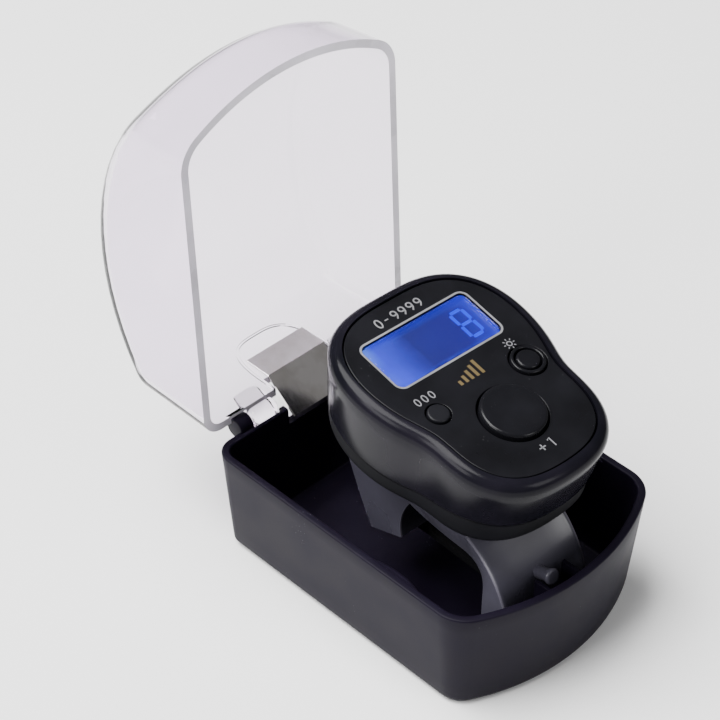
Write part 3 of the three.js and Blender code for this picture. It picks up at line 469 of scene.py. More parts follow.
tray = piece("tray", tray_parts[:1], case_black)
carve(tray, [
    bar((-spring_slot, spring_slot), (tray_length / 2 - 4 * mm, tray_length / 2 + 2 * mm),
        (tray_height - spring_slot_depth, tray_height + 2 * mm), 0.05 * mm),
    barrel((-knuckle_in, -lug_in + hinge_gap), lug_radius + hinge_gap),
    barrel((lug_in - hinge_gap, knuckle_in), lug_radius + hinge_gap)])
fittings = piece("tray_fittings", tray_parts[1:], case_black)
for made in (tray, fittings):
    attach(made, "case")
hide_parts("case_base")

# ---- Clear lid ----
# The hinged cover: a clear polished moulding with a faint lavender tint and a domed top,
# hung on two lugs whose stub pins snap into the tray's knuckles, with a slot for the spring.
lid_wall, lid_taper, lid_round = 1.4 * mm, 0.5 * mm, 3 * mm
lid_low, lid_crest, lid_crest_y, lid_dome = 20.15 * mm, 44.45 * mm, 5.9 * mm, 40.3 * mm
dome_bow_share = 0.88
lid_open = math.radians(93.27)
lug_height, lug_inset, lug_edge, pin_edge = 4.6 * mm, 0.07 * mm, 0.6 * mm, 0.15 * mm


def opened(points):
    """Points of the closed lid turned back about the hinge line."""
    y, z = points[..., 1] - hinge_y, points[..., 2] - hinge_z
    c, s = math.cos(-lid_open), math.sin(-lid_open)
    return np.stack([points[..., 0], hinge_y + y * c - z * s, hinge_z + y * s + z * c], -1)


def dome(x, y):
    """Height of the lid's top over a place of the plan: an arc of the dome's radius along the case, whose
    rows are bowed with the square of the distance from the middle, fully at the front and not at the back."""
    sag = tray_bow * (1 - (x / tray_half) ** 2)
    y = y + dome_bow_share * sag * (tray_length / 2 - y) / tray_length
    return lid_crest - lid_dome + np.sqrt(lid_dome**2 - (y - lid_crest_y) ** 2)


def lid_side(inset):
    """One face of the lid's wall from the rim up: the outline drawn in by the taper, a rounded edge that
    follows the dome, then scaled copies of the edge that close in on the middle of the top."""
    edge = lid_round - inset
    low = at_heights(case_outline([inset]), [lid_low])
    along, up = bend(10, edge)
    rings = case_outline(inset + lid_taper + along)
    edge_rings = at_heights(rings, dome(rings[..., 0], rings[..., 1]) - inset - edge + up[:, None])
    wall_share = np.linspace(0, 1, 7)[1:-1, None, None]
    wall_rings = low + (edge_rings[:1] - low) * wall_share
    top = edge_rings[-1:] * np.linspace(1, 0, 17)[1:, None, None]
    top[..., 2] = dome(top[..., 0], top[..., 1]) - inset
    return np.concatenate([low, wall_rings, edge_rings, top])


def polished(name, tint, smudge, index, roughness=0.02):
    """A clear polished plastic: the tint is cloudy, and finger smudges take a little of its gloss."""
    material, tree, shader = blank_material(name)
    shader.inputs["Transmission Weight"].default_value = 1
    shader.inputs["IOR"].default_value = index
    darker = tuple(0.985 * t for t in tint[:3]) + (1,)
    skin_node = use_group(tree, moulded_skin, Dark=darker, Light=tint, Roughness=roughness + smudge / 2,
                          Spread=smudge, Cloud=70, Grain=300)
    tree.links.new(skin_node.outputs["Colour"], shader.inputs["Base Color"])
    tree.links.new(skin_node.outputs["Roughness"], shader.inputs["Roughness"])
    return material


lid_clear = polished("lid_clear", (0.94, 0.875, 0.972, 1), 0.02, 1.3)
lid_skin = skin(np.concatenate([lid_side(0)[::-1], lid_side(lid_wall)]), ends=False)
lid_shell = piece("lid_shell", placed(opened, [lid_skin]), lid_clear)
# Painted shade: the lid's rim face gets an opaque grey in place of the clear plastic, standing in for how light
# shows through the clear rim edge.
lid_rim_painted_shade = moulded("lid_rim_painted_shade", (0.54, 0.51, 0.57, 1), (0.72, 0.68, 0.76, 1), 0.3, 0.1, 0.001 * mm, 0)
lid_cuts = [bar((-spring_slot, spring_slot), (tray_length / 2 - 4 * mm, hinge_y),
                (lid_low - 2 * mm, lid_low + spring_slot_depth), 0.3 * mm)]
for side in (-1, 1):
    recess = sorted([side * (knuckle_in - hinge_gap), side * (knuckle_out + hinge_gap)])
    lid_cuts.append(barrel(recess, knuckle_radius + hinge_gap))
carve(lid_shell, placed(opened, lid_cuts))
lid_shell.data.materials.append(lid_rim_painted_shade)
rim_y = opened(np.array([[0, hinge_y, lid_low]]))[0, 1]
middles = np.zeros(len(lid_shell.data.polygons) * 3)
normals = np.zeros(len(lid_shell.data.polygons) * 3)
lid_shell.data.polygons.foreach_get("center", middles)
lid_shell.data.polygons.foreach_get("normal", normals)
on_rim = (normals[1::3] < -0.9) & (middles[1::3] < rim_y + 6 * mm)
lid_shell.data.polygons.foreach_set("material_index", on_rim.astype(np.int32))


def rounded_off(outline, times):
    """A closed outline with its corners cut: each gives two points, a quarter of the way along its sides."""
    for _ in range(times):
        ahead = np.roll(outline, -1, 0)
        outline = np.stack([0.75 * outline + 0.25 * ahead, 0.25 * outline + 0.75 * ahead], 1).reshape(-1, 2)
    return outline


lug_parts = []
for side in (-1, 1):
    root = tray_length / 2 - lid_wall / 2
    lug_yz = rounded_off(np.array([
        (root - 0.2 * mm, lid_low + 0.05 * mm), (hinge_y, hinge_z - lug_radius),
        (hinge_y + lug_radius, hinge_z),
        (hinge_y + lug_radius * 0.8, hinge_z + 1.4 * mm), (root + 0.5 * mm, hinge_z + lug_height),
        (root - 0.5 * mm, hinge_z + lug_height)]), 2)
    along, up = bend(7, 1)
    along = along * mm + lug_inset
    stations = side * np.concatenate([lug_in + along, (lug_out - along)[::-1]])
    draw = 0.4 * np.concatenate([1 - up, (1 - up)[::-1]])[:, None, None]
    views = lug_yz + (lug_yz.mean(0) - lug_yz) * draw
    across = np.broadcast_to(stations[:, None, None], views.shape[:2] + (1,))
    lug_parts.append(skin(np.concatenate([across, views], -1)))
    lug_along, lug_up = bend(6, lug_edge)
    pin_along, pin_up = bend(4, pin_edge)
    lug_x = np.concatenate([lug_in + lug_along, (lug_out - lug_along)[::-1]])
    lug_r = np.concatenate([lug_radius - lug_edge + lug_up, (lug_radius - lug_edge + lug_up)[::-1]])
    pin_x = np.concatenate([[lug_out], (lug_out + pin_length - pin_along)[::-1]])
    pin_r = np.concatenate([[pin_radius], (pin_radius - pin_edge + pin_up)[::-1]])
    round_x, round_r = np.concatenate([lug_x, pin_x]), np.concatenate([lug_r, pin_r])
    swing_round = np.linspace(0, 2 * np.pi, 41)[:-1]
    lug_parts.append(skin(np.stack(np.broadcast_arrays(
        side * round_x[:, None], hinge_y + round_r[:, None] * np.cos(swing_round),
        hinge_z + round_r[:, None] * np.sin(swing_round)), -1)))

arch_half, arch_high, arch_width, arch_proud = 7.1 * mm, 12.4 * mm, 0.45 * mm, 0.2 * mm
a = np.linspace(0, np.pi, 41)
arch_square = 0.6
arch_line = np.stack([arch_half * np.sign(np.cos(a)) * np.abs(np.cos(a)) ** arch_square,
                      lid_low + arch_high * np.sin(a) ** arch_square], -1)
arch, arch_faces = ribbon(arch_line, arch_width, -0.6 * mm, arch_proud)
wall_lean = lid_taper * (arch[:, 1] - lid_low) / (dome(0, tray_length / 2) - lid_round - lid_low)
arch = np.stack([arch[:, 0], tray_length / 2 - lid_wall - wall_lean - arch[:, 2], arch[:, 1]], -1)
carve(lid_shell, placed(opened, lug_parts + [(arch, arch_faces)]), operation="UNION")
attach(lid_shell, "lid")
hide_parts("case_lid")

# ---- Hinge spring ----
# A leaf of bright nickel-plated sheet steel, folded over at the hinge line: the upper leaf lies
# on the lid's wall and the lower one goes down inside the back of the tray, and throws the lid open.
spring_half, spring_thick = 6.2 * mm, 0.4 * mm
spring_line = np.array([(27.7, 18.2), (29.4, 19.56), (31.2, 21.0), (32.5, 22.04), (33.1, 22.5), (33.7, 22.93),
                        (34.1, 22.935), (34.8, 22.94), (36.6, 22.94), (38.75, 22.94)]) * mm


def leaf(line, half, thick, ease):
    """A sheet carried along a side view: the line and its offset by the thickness, with eased ends in x."""
    step = np.gradient(line, axis=0)
    normal = np.stack([-step[:, 1], step[:, 0]], -1) / np.linalg.norm(step, axis=1)[:, None]
    loop = np.concatenate([line, (line + normal * thick)[::-1]])
    middle = np.concatenate([line + normal * thick / 2, (line + normal * thick / 2)[::-1]])
    stations = np.array([-half, -half + ease, half - ease, half])
    draw = np.array([ease / thick, 0, 0, ease / thick])
    rings = loop + (middle - loop) * draw[:, None, None]
    return skin_side(stations, rings)


def skin_side(stations, rings):
    """A closed surface through side views at x stations. Each view runs along one edge and back along the
    other, and its two halves are joined straight across at both ends."""
    count = rings.shape[1]
    x = np.broadcast_to(stations[:, None, None], rings.shape[:2] + (1,))
    points, faces = skin(np.concatenate([x, rings], -1), ends=False)
    k = np.arange(count // 2 - 1)
    across = np.stack([k, k + 1, count - 2 - k, count - 1 - k], -1)
    last = (len(stations) - 1) * count
    return points, faces + across[:, ::-1].tolist() + (across + last).tolist()


spring_nickel, tree, shader = blank_material("spring_nickel")
shader.inputs["Metallic"].default_value = 1
coordinates = object_place(tree)
stretch = tree.nodes.new("ShaderNodeMapping")
stretch.inputs["Scale"].default_value = (1, 0.08, 0.08)
tree.links.new(coordinates, stretch.inputs["Vector"])
rolled = noise(tree, stretch.outputs["Vector"], 5200, 2)
stain = noise(tree, coordinates, 240, 3)
stained = spread_to(tree, stain, 0.45, 0.7, 0, 1)
tree.links.new(mix_colours(tree, stained, (0.95, 0.91, 0.90, 1), (0.80, 0.76, 0.73, 1)),
               shader.inputs["Base Color"])
leaf_place = tree.nodes.new("ShaderNodeSeparateXYZ")
tree.links.new(coordinates, leaf_place.inputs["Vector"])
upper_leaf = spread_to(tree, leaf_place.outputs["Y"], 33.5 * mm, 33.8 * mm, 0, 0.3)
rolled_gloss = spread_to(tree, rolled, 0.3, 0.7, 0.09, 0.15)
tree.links.new(sum_of(tree, "ADD", upper_leaf, rolled_gloss), shader.inputs["Roughness"])

spring_leaf = piece("spring_leaf", [leaf(spring_line, spring_half, spring_thick, 0.1 * mm)],
                    spring_nickel, 20)
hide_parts("hinge_spring")
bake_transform(spring_leaf)

# ---- Lower shell ----
# The bottom half of the counter's housing: a matt black moulding, pear-shaped in plan, with a
# hollow-ground underside for the ring, held to the upper half by three screws.
face_radius = 17.2 * mm
pear_shares = np.array([0.0784, 0.1827, -0.0547, -0.0458, 0.0044, -0.0229])
lean = -0.03
face_y, face_z, face_tilt, face_turn = -5.68 * mm, 42.97 * mm, math.radians(10.4), math.radians(-2.5)
parting, parting_front, parting_back, parting_reach = 12.7 * mm, 3.2 * mm, 1.2 * mm, 19 * mm
under_depth, under_front, under_back = 16.2 * mm, 66 * mm, 75 * mm
skirt, band, band_round, band_inside = 1.2 * mm, 0.9 * mm, 1.2 * mm, -0.75 * mm


def pear(offset):
    """Outline of the face moved out by each offset: the radius is a mean with cosines of one to six times the
    angle from the back, and each point moves along the outline's own normal."""
    offset = np.atleast_1d(np.asarray(offset, float))[:, None]
    a = (np.arange(176) + 0.5) * 2 * np.pi / 176
    k = np.arange(1, 7)[:, None]
    radius = face_radius * (1 + (pear_shares[:, None] * np.cos(k * a)).sum(0))
    slope = -face_radius * (pear_shares[:, None] * k * np.sin(k * a)).sum(0)
    normal = np.stack([radius * np.sin(a) - slope * np.cos(a), slope * np.sin(a) + radius * np.cos(a)], -1)
    normal = normal / np.linalg.norm(normal, axis=1)[:, None]
    line = np.stack([radius * np.sin(a), radius * np.cos(a)], -1)
    return line + offset[..., None] * normal


def leaned(outline, heights):
    """The outline's rings at their heights, moved towards the back as they go down, as the walls lean."""
    rings = at_heights(outline, heights)
    rings[..., 1] -= lean * rings[..., 2]
    return rings


def on_head(points):
    """Points from the head's own axes (across, to the back, up from the face) into the object's frame."""
    points = np.asarray(points, float)
    c, s = math.cos(face_turn), math.sin(face_turn)
    x, y, z = points[..., 0] * c - points[..., 1] * s, points[..., 0] * s + points[..., 1] * c, points[..., 2]
    c, s = math.cos(face_tilt), math.sin(face_tilt)
    return np.stack([x, face_y + y * c - z * s, face_z + y * s + z * c], -1)


def head_axes(tree, coordinates):
    """Object coordinates turned into the head's own axes: across, towards the back and up from the face."""
    for middle, turn in (((0, face_y, face_z), (face_tilt, 0, 0)), ((0, 0, 0), (0, 0, face_turn))):
        node = tree.nodes.new("ShaderNodeMapping")
        node.vector_type = "TEXTURE"
        node.inputs["Location"].default_value = middle
        node.inputs["Rotation"].default_value = turn
        tree.links.new(coordinates, node.inputs["Vector"])
        coordinates = node.outputs["Vector"]
    node = tree.nodes.new("ShaderNodeSeparateXYZ")
    tree.links.new(coordinates, node.inputs["Vector"])
    return node.outputs


def smooth_share(value):
    """A share from 0 to 1 that starts and ends level."""
    value = np.clip(value, 0, 1)
    return value * value * (3 - 2 * value)


def parting_height(w):
    """Height of the line between the shells: lowest at the sides, rising to the front, less to the back."""
    rise = np.where(w < 0, parting_front, parting_back)
    return rise * smooth_share(np.abs(w) / parting_reach) - parting


def under_height(w):
    """Height of the hollow-ground underside: a flat parabola, steeper to the front."""
    return w**2 / (2 * np.where(w < 0, under_front, under_back)) - under_depth


shell_matt = moulded("shell_matt", (0.004, 0.004, 0.005, 1), (0.006, 0.006, 0.008, 1), 0.5, 0.08,
                     0.003 * mm, 0.2, specular=0.05)

low_along, low_up = bend(8, band_round)
under = pear(band - low_along[::-1])
under_rings = leaned(under, under_height(under[..., 1]) + band_round - low_up[::-1, None])
middle_rings = []
for share_in in (0.15, 0.4, 0.7):
    ring = pear([band - band_round])[0] * share_in
    middle_rings.append(at_heights(ring[None], under_height(ring[:, 1])[None]))
bottom = np.concatenate(middle_rings)
bottom[..., 1] -= lean * bottom[..., 2]
rim_line = pear([band])
rim_rings = np.concatenate([
    leaned(rim_line, parting_height(rim_line[..., 1]) - 0.5 * mm),
    leaned(pear([band - 0.2 * mm]), parting_height(rim_line[..., 1]) - 0.3 * mm),
    leaned(pear([band_inside]), parting_height(rim_line[..., 1]) - 0.3 * mm)])
inside = pear([band_inside, band_inside - 4 * mm])
inside_rings = leaned(inside, under_height(inside[..., 1]) + 1.3 * mm)
lower_rings = np.concatenate([bottom, under_rings, rim_rings, inside_rings])
lower_housing = piece("lower_housing", placed(on_head, [skin(lower_rings)]), shell_matt)
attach(lower_housing, "counter")
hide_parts("lower_shell")

# ---- Upper shell ----
# The glossy top half of the housing: its rounded bezel stands round the face plate, and a
# shelf under the plate carries the buttons. Its own polish came from the mould.
bezel, bezel_round, bezel_rise = 2.3 * mm, 2 * mm, 0.15 * mm
plate_thick, shelf_low, shelf_high, plate_seat = 0.8 * mm, -2.3 * mm, -1.1 * mm, 0.3 * mm
display_w, display_half_u, display_half_w, display_corner = 10 * mm, 11.2 * mm, 4.9 * mm, 1.1 * mm
window_half_u, window_half_w, window_gap = 10.4 * mm, 4.55 * mm, 0.2 * mm
count_u, count_w, count_radius = 0, -7.7 * mm, 5.2 * mm
reset_u, reset_w, reset_radius = -9.3 * mm, -1.45 * mm, 1.75 * mm
light_u, light_w, light_radius = 9.2 * mm, -1.45 * mm, 1.9 * mm


def plate_with_holes(outline, holes, low, high, ease):
    """A flat plate with eased edges between two heights, from its outline and the outlines of its holes."""
    curve = bpy.data.curves.new("plate", "CURVE")
    curve.dimensions = "2D"
    curve.fill_mode = "BOTH"
    curve.extrude = (high - low) / 2 - ease
    curve.bevel_depth = ease
    curve.bevel_resolution = 1
    curve.offset = -ease
    for line in [outline, *holes]:
        spline = curve.splines.new("POLY")
        spline.points.add(len(line) - 1)
        corners = np.column_stack([line, np.zeros(len(line)), np.ones(len(line))])
        spline.points.foreach_set("co", corners.ravel())
        spline.use_cyclic_u = True
    flat = bpy.data.objects.new("plate", curve)
    bpy.context.scene.collection.objects.link(flat)
    bpy.context.view_layer.update()
    mesh = bpy.data.meshes.new_from_object(flat.evaluated_get(bpy.context.evaluated_depsgraph_get()))
    points = np.zeros(len(mesh.vertices) * 3)
    mesh.vertices.foreach_get("co", points)
    faces = [list(p.vertices) for p in mesh.polygons]
    bpy.data.objects.remove(flat)
    bpy.data.meshes.remove(mesh)
    return points.reshape(-1, 3) + np.array([0, 0, (low + high) / 2]), faces


def circle(u, w, radius, steps=72):
    """A circle of points about (u, w)."""
    a = np.arange(steps) * 2 * np.pi / steps
    return np.stack([u + radius * np.cos(a), w + radius * np.sin(a)], -1)


def rounded_box(half_u, half_w, corner, w, steps=9):
    """A rectangle with rounded corners about (0, w), anticlockwise."""
    a = np.concatenate([np.linspace(q, q + 1, steps) for q in range(4)]) * np.pi / 2
    signs = np.repeat(np.array([(1, 1), (-1, 1), (-1, -1), (1, -1)]), steps, 0)
    middles = signs * np.array([half_u - corner, half_w - corner])
    return middles + corner * np.stack([np.cos(a), np.sin(a)], -1) + np.array([0, w])


def face_holes(half_u, half_w, around_light):
    """Outlines of the openings in the face: the window, the count and reset buttons and the light button."""
    return [rounded_box(half_u, half_w, display_corner + window_gap, display_w),
            circle(count_u, count_w, count_radius + 0.35 * mm),
            circle(reset_u, reset_w, reset_radius + 0.3 * mm, 40),
            circle(light_u, light_w, around_light, 48)]


shell_gloss = moulded("shell_gloss", (0.004, 0.004, 0.006, 1), (0.008, 0.007, 0.011, 1), 0.18, 0.05,
                      0.0003 * mm, 0.05, specular=0.075)
round_along, round_up = bend(9, bezel_round)
wall_line = pear([skirt])
wall_high = bezel_rise - bezel_round
wall_shares = np.linspace(0, 1, 6)[1:-1]
wall_low = parting_height(wall_line[..., 1])
wall_rings = leaned(pear(skirt + (bezel - skirt) * wall_shares),
                    wall_low * (1 - wall_shares[:, None]) + wall_high * wall_shares[:, None])
bezel_rings = leaned(pear(bezel - round_along), (bezel_rise - bezel_round) + round_up)
upper_rings = np.concatenate([
    leaned(pear([plate_seat]), [shelf_low]),
    leaned(pear([plate_seat]), wall_low),
    leaned(pear([skirt - 0.2 * mm]), wall_low),
    leaned(wall_line, wall_low + 0.2 * mm),
    wall_rings,
    bezel_rings,
    leaned(pear([plate_seat]), [bezel_rise - 0.15 * mm]),
    leaned(pear([plate_seat]), [-1 * mm])])
shelf_holes = face_holes(display_half_u + window_gap, display_half_w + window_gap, 2.2 * mm)
shelf = plate_with_holes(pear([0.4 * mm])[0], shelf_holes, shelf_low, shelf_high, 0.05 * mm)
upper_housing = piece("upper_housing", placed(on_head, [skin(upper_rings, round_again=True), shelf]),
                      shell_gloss)
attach(upper_housing, "counter")
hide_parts("upper_shell")

# ---- Face plate and its printing ----
# A thin black plate laid in the bezel, with a silver line round the window and marks printed in
# silver and gold: a counting range, noughts by the reset button, plus one by the count button, a
# lamp by the light button and a row of rising bars.
face_black = moulded("face_black", (0.004, 0.004, 0.005, 1), (0.007, 0.007, 0.009, 1), 0.3, 0.06,
                     0.0005 * mm, 0.12, specular=0.12)
plate_holes = face_holes(window_half_u + window_gap, window_half_w + window_gap, 3.1 * mm)
plate = plate_with_holes(pear([0])[0], plate_holes, -plate_thick, 0, 0.1 * mm)
front_plate = piece("front_plate", placed(on_head, [plate]), face_black, 15)
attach(front_plate, "counter")
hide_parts("face_plate")


def shifted(path, u, w, turn=0.0):
    """A mark drawn about its own middle, turned and put in its place on the face."""
    c, s = math.cos(math.radians(turn)), math.sin(math.radians(turn))
    path = np.asarray(path, float) * mm
    return path @ np.array([[c, s], [-s, c]]) + np.array([u, w]) * mm


printed_silver = moulded("printed_silver", (0.13, 0.13, 0.14, 1), (0.20, 0.20, 0.21, 1), 0.45, 0.1, 0, 0)
printed_gold = moulded("printed_gold", (0.075, 0.052, 0.018, 1), (0.12, 0.085, 0.033, 1), 0.4, 0.1, 0, 0)

turn_round = np.linspace(0, 2 * np.pi, 33)[:-1]
nought = np.stack([0.36 * np.cos(turn_round), 0.65 * np.sin(turn_round)], -1)
nine = np.concatenate([np.stack([0.36 * np.cos(turn_round), 0.3 + 0.35 * np.sin(turn_round)], -1)[:-4][::-1],
                       [(0.36, 0.2), (0.3, -0.2), (-0.05, -0.65)]])
frame_out, plus_w, range_w, noughts_w, lamp_u, lamp_w = 0.42 * mm, -15.0, 16.9, 1.9, 9.2, 2.6
frame_line = rounded_box(window_half_u + frame_out, window_half_w + frame_out, 1.4 * mm, display_w)
silver_marks = [
    ribbon(frame_line, 0.34 * mm, closed=True),
    ribbon(shifted([(-0.6, 0), (0.6, 0)], -1.0, plus_w), 0.22 * mm),
    ribbon(shifted([(0, -0.6), (0, 0.6)], -1.0, plus_w), 0.22 * mm),
    ribbon(shifted([(-0.4, 0.55), (0.1, 0.85), (0.1, -0.85)], 0.9, plus_w), 0.22 * mm),
    ribbon(shifted([(-0.35, 0), (0.35, 0)], -3.1, range_w), 0.2 * mm)]
for u in (-10.4, -9.0, -7.6):
    silver_marks.append(ribbon(shifted(nought, u, noughts_w), 0.2 * mm, closed=True))
silver_marks.append(ribbon(shifted(nought * 1.25, -4.7, range_w), 0.24 * mm, closed=True))
for u in (-1.4, 0.2, 1.8, 3.4):
    silver_marks.append(ribbon(shifted(nine * 1.25, u, range_w), 0.24 * mm))
lamp = shifted(0.42 * np.stack([np.cos(turn_round), np.sin(turn_round)], -1), lamp_u, lamp_w)
silver_marks.append(ribbon(lamp, 0.2 * mm, closed=True))
for turn in range(0, 360, 45):
    silver_marks.append(ribbon(shifted([(0.72, 0), (1.05, 0)], lamp_u, lamp_w, turn), 0.18 * mm))
gold_marks = [ribbon(shifted([(0, 0), (0, height)], u, 0.6), 0.55 * mm)
              for u, height in ((-2.4, 0.9), (-1.3, 1.4), (-0.2, 1.9), (0.9, 2.4), (2.0, 2.9))]
for name, marks, material in (("printed_marks", silver_marks, printed_silver),
                              ("printed_bars", gold_marks, printed_gold)):
    made = piece(name, placed(on_head, marks), material)
    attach(made, "counter")

# ---- Display ----
# The window is a clear pane let into the plate. Under it lies the display glass, lit blue from
# one end by a small light through a clear guide, with a seven-bar digit at its right-hand end.
window_clear = polished("window_clear", (0.97, 0.975, 1.0, 1), 0.02, 1.15)


def pane(low, high, half_u, half_w, corner, w, ease):
    """A flat pane with rounded corners and eased edges."""
    along, up = bend(4, ease)
    insets = np.concatenate([ease - up, ease - up[::-1]])
    heights = np.concatenate([low + along, (high - along)[::-1]])
    rings = np.stack([rounded_box(half_u - i, half_w - i, corner - i, w) for i in insets])
    return skin(at_heights(rings, heights))


pane_part = pane(-0.8 * mm, -0.1 * mm, window_half_u, window_half_w, display_corner, display_w, 0.12 * mm)
window_pane = piece("window_pane", placed(on_head, [pane_part]), window_clear, 15)
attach(window_pane, "counter")
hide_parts("display_window")

display_lit, tree, shader = blank_material("display_lit")
coordinates = object_place(tree)
on_display = head_axes(tree, coordinates)
from_light = spread_to(tree, on_display["X"], -11.5 * mm, 11.5 * mm, 0, 1)
ramp = tree.nodes.new("ShaderNodeValToRGB")
ramp.color_ramp.elements[0].color = (0.09, 0.13, 1, 1)
ramp.color_ramp.elements[1].color = (0.02, 0.016, 0.5, 1)
for place_on, stop_colour in ((0.10, (0.05, 0.055, 0.85, 1)), (0.42, (0.013, 0.001, 0.06, 1)),
                              (0.72, (0.012, 0.001, 0.10, 1))):
    ramp.color_ramp.elements.new(place_on).color = stop_colour
off_mean = sum_of(tree, "SUBTRACT", noise(tree, coordinates, 130), 0.5)
cloudy = sum_of(tree, "ADD", from_light, sum_of(tree, "MULTIPLY", off_mean, 0.25))
tree.links.new(cloudy, ramp.inputs["Fac"])
above_middle = sum_of(tree, "SUBTRACT", on_display["Y"], display_w)
from_middle = sum_of(tree, "ABSOLUTE", above_middle, 0)
near_long_side = spread_to(tree, from_middle, 3.4 * mm, 4.7 * mm, 0, 0.45)
near_end = spread_to(tree, on_display["X"], 9.3 * mm, 10.9 * mm, 0, 0.6)
glow = sum_of(tree, "MAXIMUM", near_long_side, near_end)
lit_edges = mix_colours(tree, glow, ramp.outputs["Color"], (0.02, 0.04, 0.9, 1))
up_corner = spread_to(tree, above_middle, 0, 4.6 * mm, 0, 1)
left_corner = spread_to(tree, on_display["X"], -8.2 * mm, -10.4 * mm, 0, 1)
hot_corner = sum_of(tree, "MULTIPLY", up_corner, left_corner)
tree.links.new(mix_colours(tree, hot_corner, lit_edges, (0.14, 0.32, 1, 1)), shader.inputs["Emission Color"])
shader.inputs["Emission Strength"].default_value = 1.2
tree.links.new(mix_colours(tree, cloudy, (0.01, 0.02, 0.12, 1), (0.006, 0.01, 0.08, 1)),
               shader.inputs["Base Color"])
shader.inputs["Roughness"].default_value = 0.25
shader.inputs["Specular IOR Level"].default_value = 0.1
glass_part = pane(-2.5 * mm, -1.1 * mm, display_half_u, display_half_w, display_corner, display_w, 0.05 * mm)
display_glass = piece("display_glass", placed(on_head, [glass_part]), display_lit, 15)
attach(display_glass, "counter")
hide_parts("display_panel")

digit_lit, tree, shader = blank_material("digit_lit")
mottled = noise(tree, object_place(tree), 300)
tree.links.new(mix_colours(tree, mottled, (0.004, 0.018, 0.75, 1), (0.006, 0.028, 0.95, 1)),
               shader.inputs["Emission Color"])
shader.inputs["Emission Strength"].default_value = 2.2
tree.links.new(mix_colours(tree, mottled, (0.001, 0.004, 0.06, 1), (0.002, 0.006, 0.09, 1)),
               shader.inputs["Base Color"])
shader.inputs["Specular IOR Level"].default_value = 0.05


def digit(u, w, width, height):
    """The seven bars of a digit about (u, w), each a short flat bar with a gap at its ends."""
    a, b = width / 2, height / 2
    ends = [((-a, b), (a, b)), ((-a, 0), (a, 0)), ((-a, -b), (a, -b)), ((-a, b), (-a, 0)), ((a, b), (a, 0)),
            ((-a, 0), (-a, -b)), ((a, 0), (a, -b))]
    bars = []
    for start, end in ends:
        start, end = np.array(start), np.array(end)
        shorten = (end - start) / np.linalg.norm(end - start) * 0.28
        bars.append(ribbon((np.array([start + shorten, end - shorten]) + np.array([u, w])) * mm, 0.5 * mm,
                           -1.08 * mm, -1.05 * mm))
    return bars


lit_digit = piece("lit_digit", placed(on_head, digit(7.4, 10, 2.4, 5.4)), digit_lit)
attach(lit_digit, "counter")

# ---- Inner parts ----
# Closed inside the housing: the board with its chip, switches and light, the strip that joins it
# to the display, and two button cells with their contacts. They keep the frame's own shapes.
board_green = moulded("board_green", (0.010, 0.05, 0.02, 1), (0.016, 0.08, 0.03, 1), 0.4, 0.1,
                      0.002 * mm, 0.2)
part_black = moulded("part_black", (0.010, 0.010, 0.011, 1), (0.018, 0.018, 0.019, 1), 0.55, 0.1,
                     0.003 * mm, 0.2)
rubber_black = moulded("rubber_black", (0.005, 0.005, 0.006, 1), (0.009, 0.009, 0.010, 1), 0.75, 0.1,
                       0.01 * mm, 0.3, specular=0.15)


def sheet_metal(name, light, dark, roughness):
    """A plain plated or brushed metal: two cloudy tones, and fine scratches in its gloss."""
    material, tree, shader = blank_material(name)
    shader.inputs["Metallic"].default_value = 1
    coordinates = object_place(tree)
    tree.links.new(mix_colours(tree, noise(tree, coordinates, 300), light, dark), shader.inputs["Base Color"])
    scratches = noise(tree, coordinates, 4000)
    tree.links.new(spread_to(tree, scratches, 0.3, 0.7, roughness - 0.08, roughness + 0.08),
                   shader.inputs["Roughness"])
    return material


cell_steel = sheet_metal("cell_steel", (0.62, 0.61, 0.59, 1), (0.50, 0.49, 0.47, 1), 0.3)
contact_nickel = sheet_metal("contact_nickel", (0.66, 0.62, 0.52, 1), (0.52, 0.48, 0.40, 1), 0.28)
screw_zinc = sheet_metal("screw_zinc", (0.55, 0.55, 0.56, 1), (0.38, 0.38, 0.40, 1), 0.35)
inner_finishes = {
    "circuit_board": board_green, "chip_blob": part_black, "count_switch": part_black, "reset_switch": part_black,
    "light_switch": part_black, "zebra_strip": rubber_black, "light_guide": window_clear,
    "backlight_led": digit_lit, "cell_front": cell_steel, "cell_back": cell_steel,
    "contact_negative": contact_nickel, "contact_positive": contact_nickel, "cell_bridge": contact_nickel,
    "shell_screw_front": screw_zinc, "shell_screw_left": screw_zinc, "shell_screw_right": screw_zinc,
    "ring_screw_left": screw_zinc, "ring_screw_right": screw_zinc}
for node, material in inner_finishes.items():
    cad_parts[node].data.materials.clear()
    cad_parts[node].data.materials.append(material)

# ---- Buttons ----
# Turned-looking moulded caps that stand in round openings of the face, each held under the shelf
# by its flange. The large count button is glossy with a hollowed top; the reset button is satin.
button_gloss = moulded("button_gloss", (0.004, 0.004, 0.005, 1), (0.007, 0.007, 0.009, 1), 0.22, 0.06,
                       0.001 * mm, 0.2, specular=0.14)
button_matt = moulded("button_matt", (0.005, 0.005, 0.007, 1), (0.008, 0.008, 0.010, 1), 0.38, 0.08,
                      0.002 * mm, 0.2, specular=0.14)


def button_cap(u, w, radius, rise, edge, hollow, flange, flange_high, stem, stem_low):
    """A cap turned about its own axis: stem, flange, straight side, rounded edge and a shallow hollow
    that deepens with the cosine towards the middle."""
    along, up = bend(9, edge)
    r_in = np.linspace(radius - edge, 0, 12)
    top_r = r_in[1:-1]
    top_z = rise - hollow * (np.cos(np.pi * top_r / (radius - edge)) + 1) / 2
    flange_top = -2.6 * mm
    r = np.concatenate([[stem, stem, radius + flange, radius + flange, radius], radius - along, top_r])
    flange_low = flange_top - flange_high
    z = np.concatenate([[stem_low, flange_low, flange_low, flange_top, flange_top], rise - edge + up, top_z])
    a = np.linspace(0, 2 * np.pi, 81)[:-1]
    return skin(np.stack(np.broadcast_arrays(
        u + r[:, None] * np.cos(a), w + r[:, None] * np.sin(a), z[:, None]), -1))


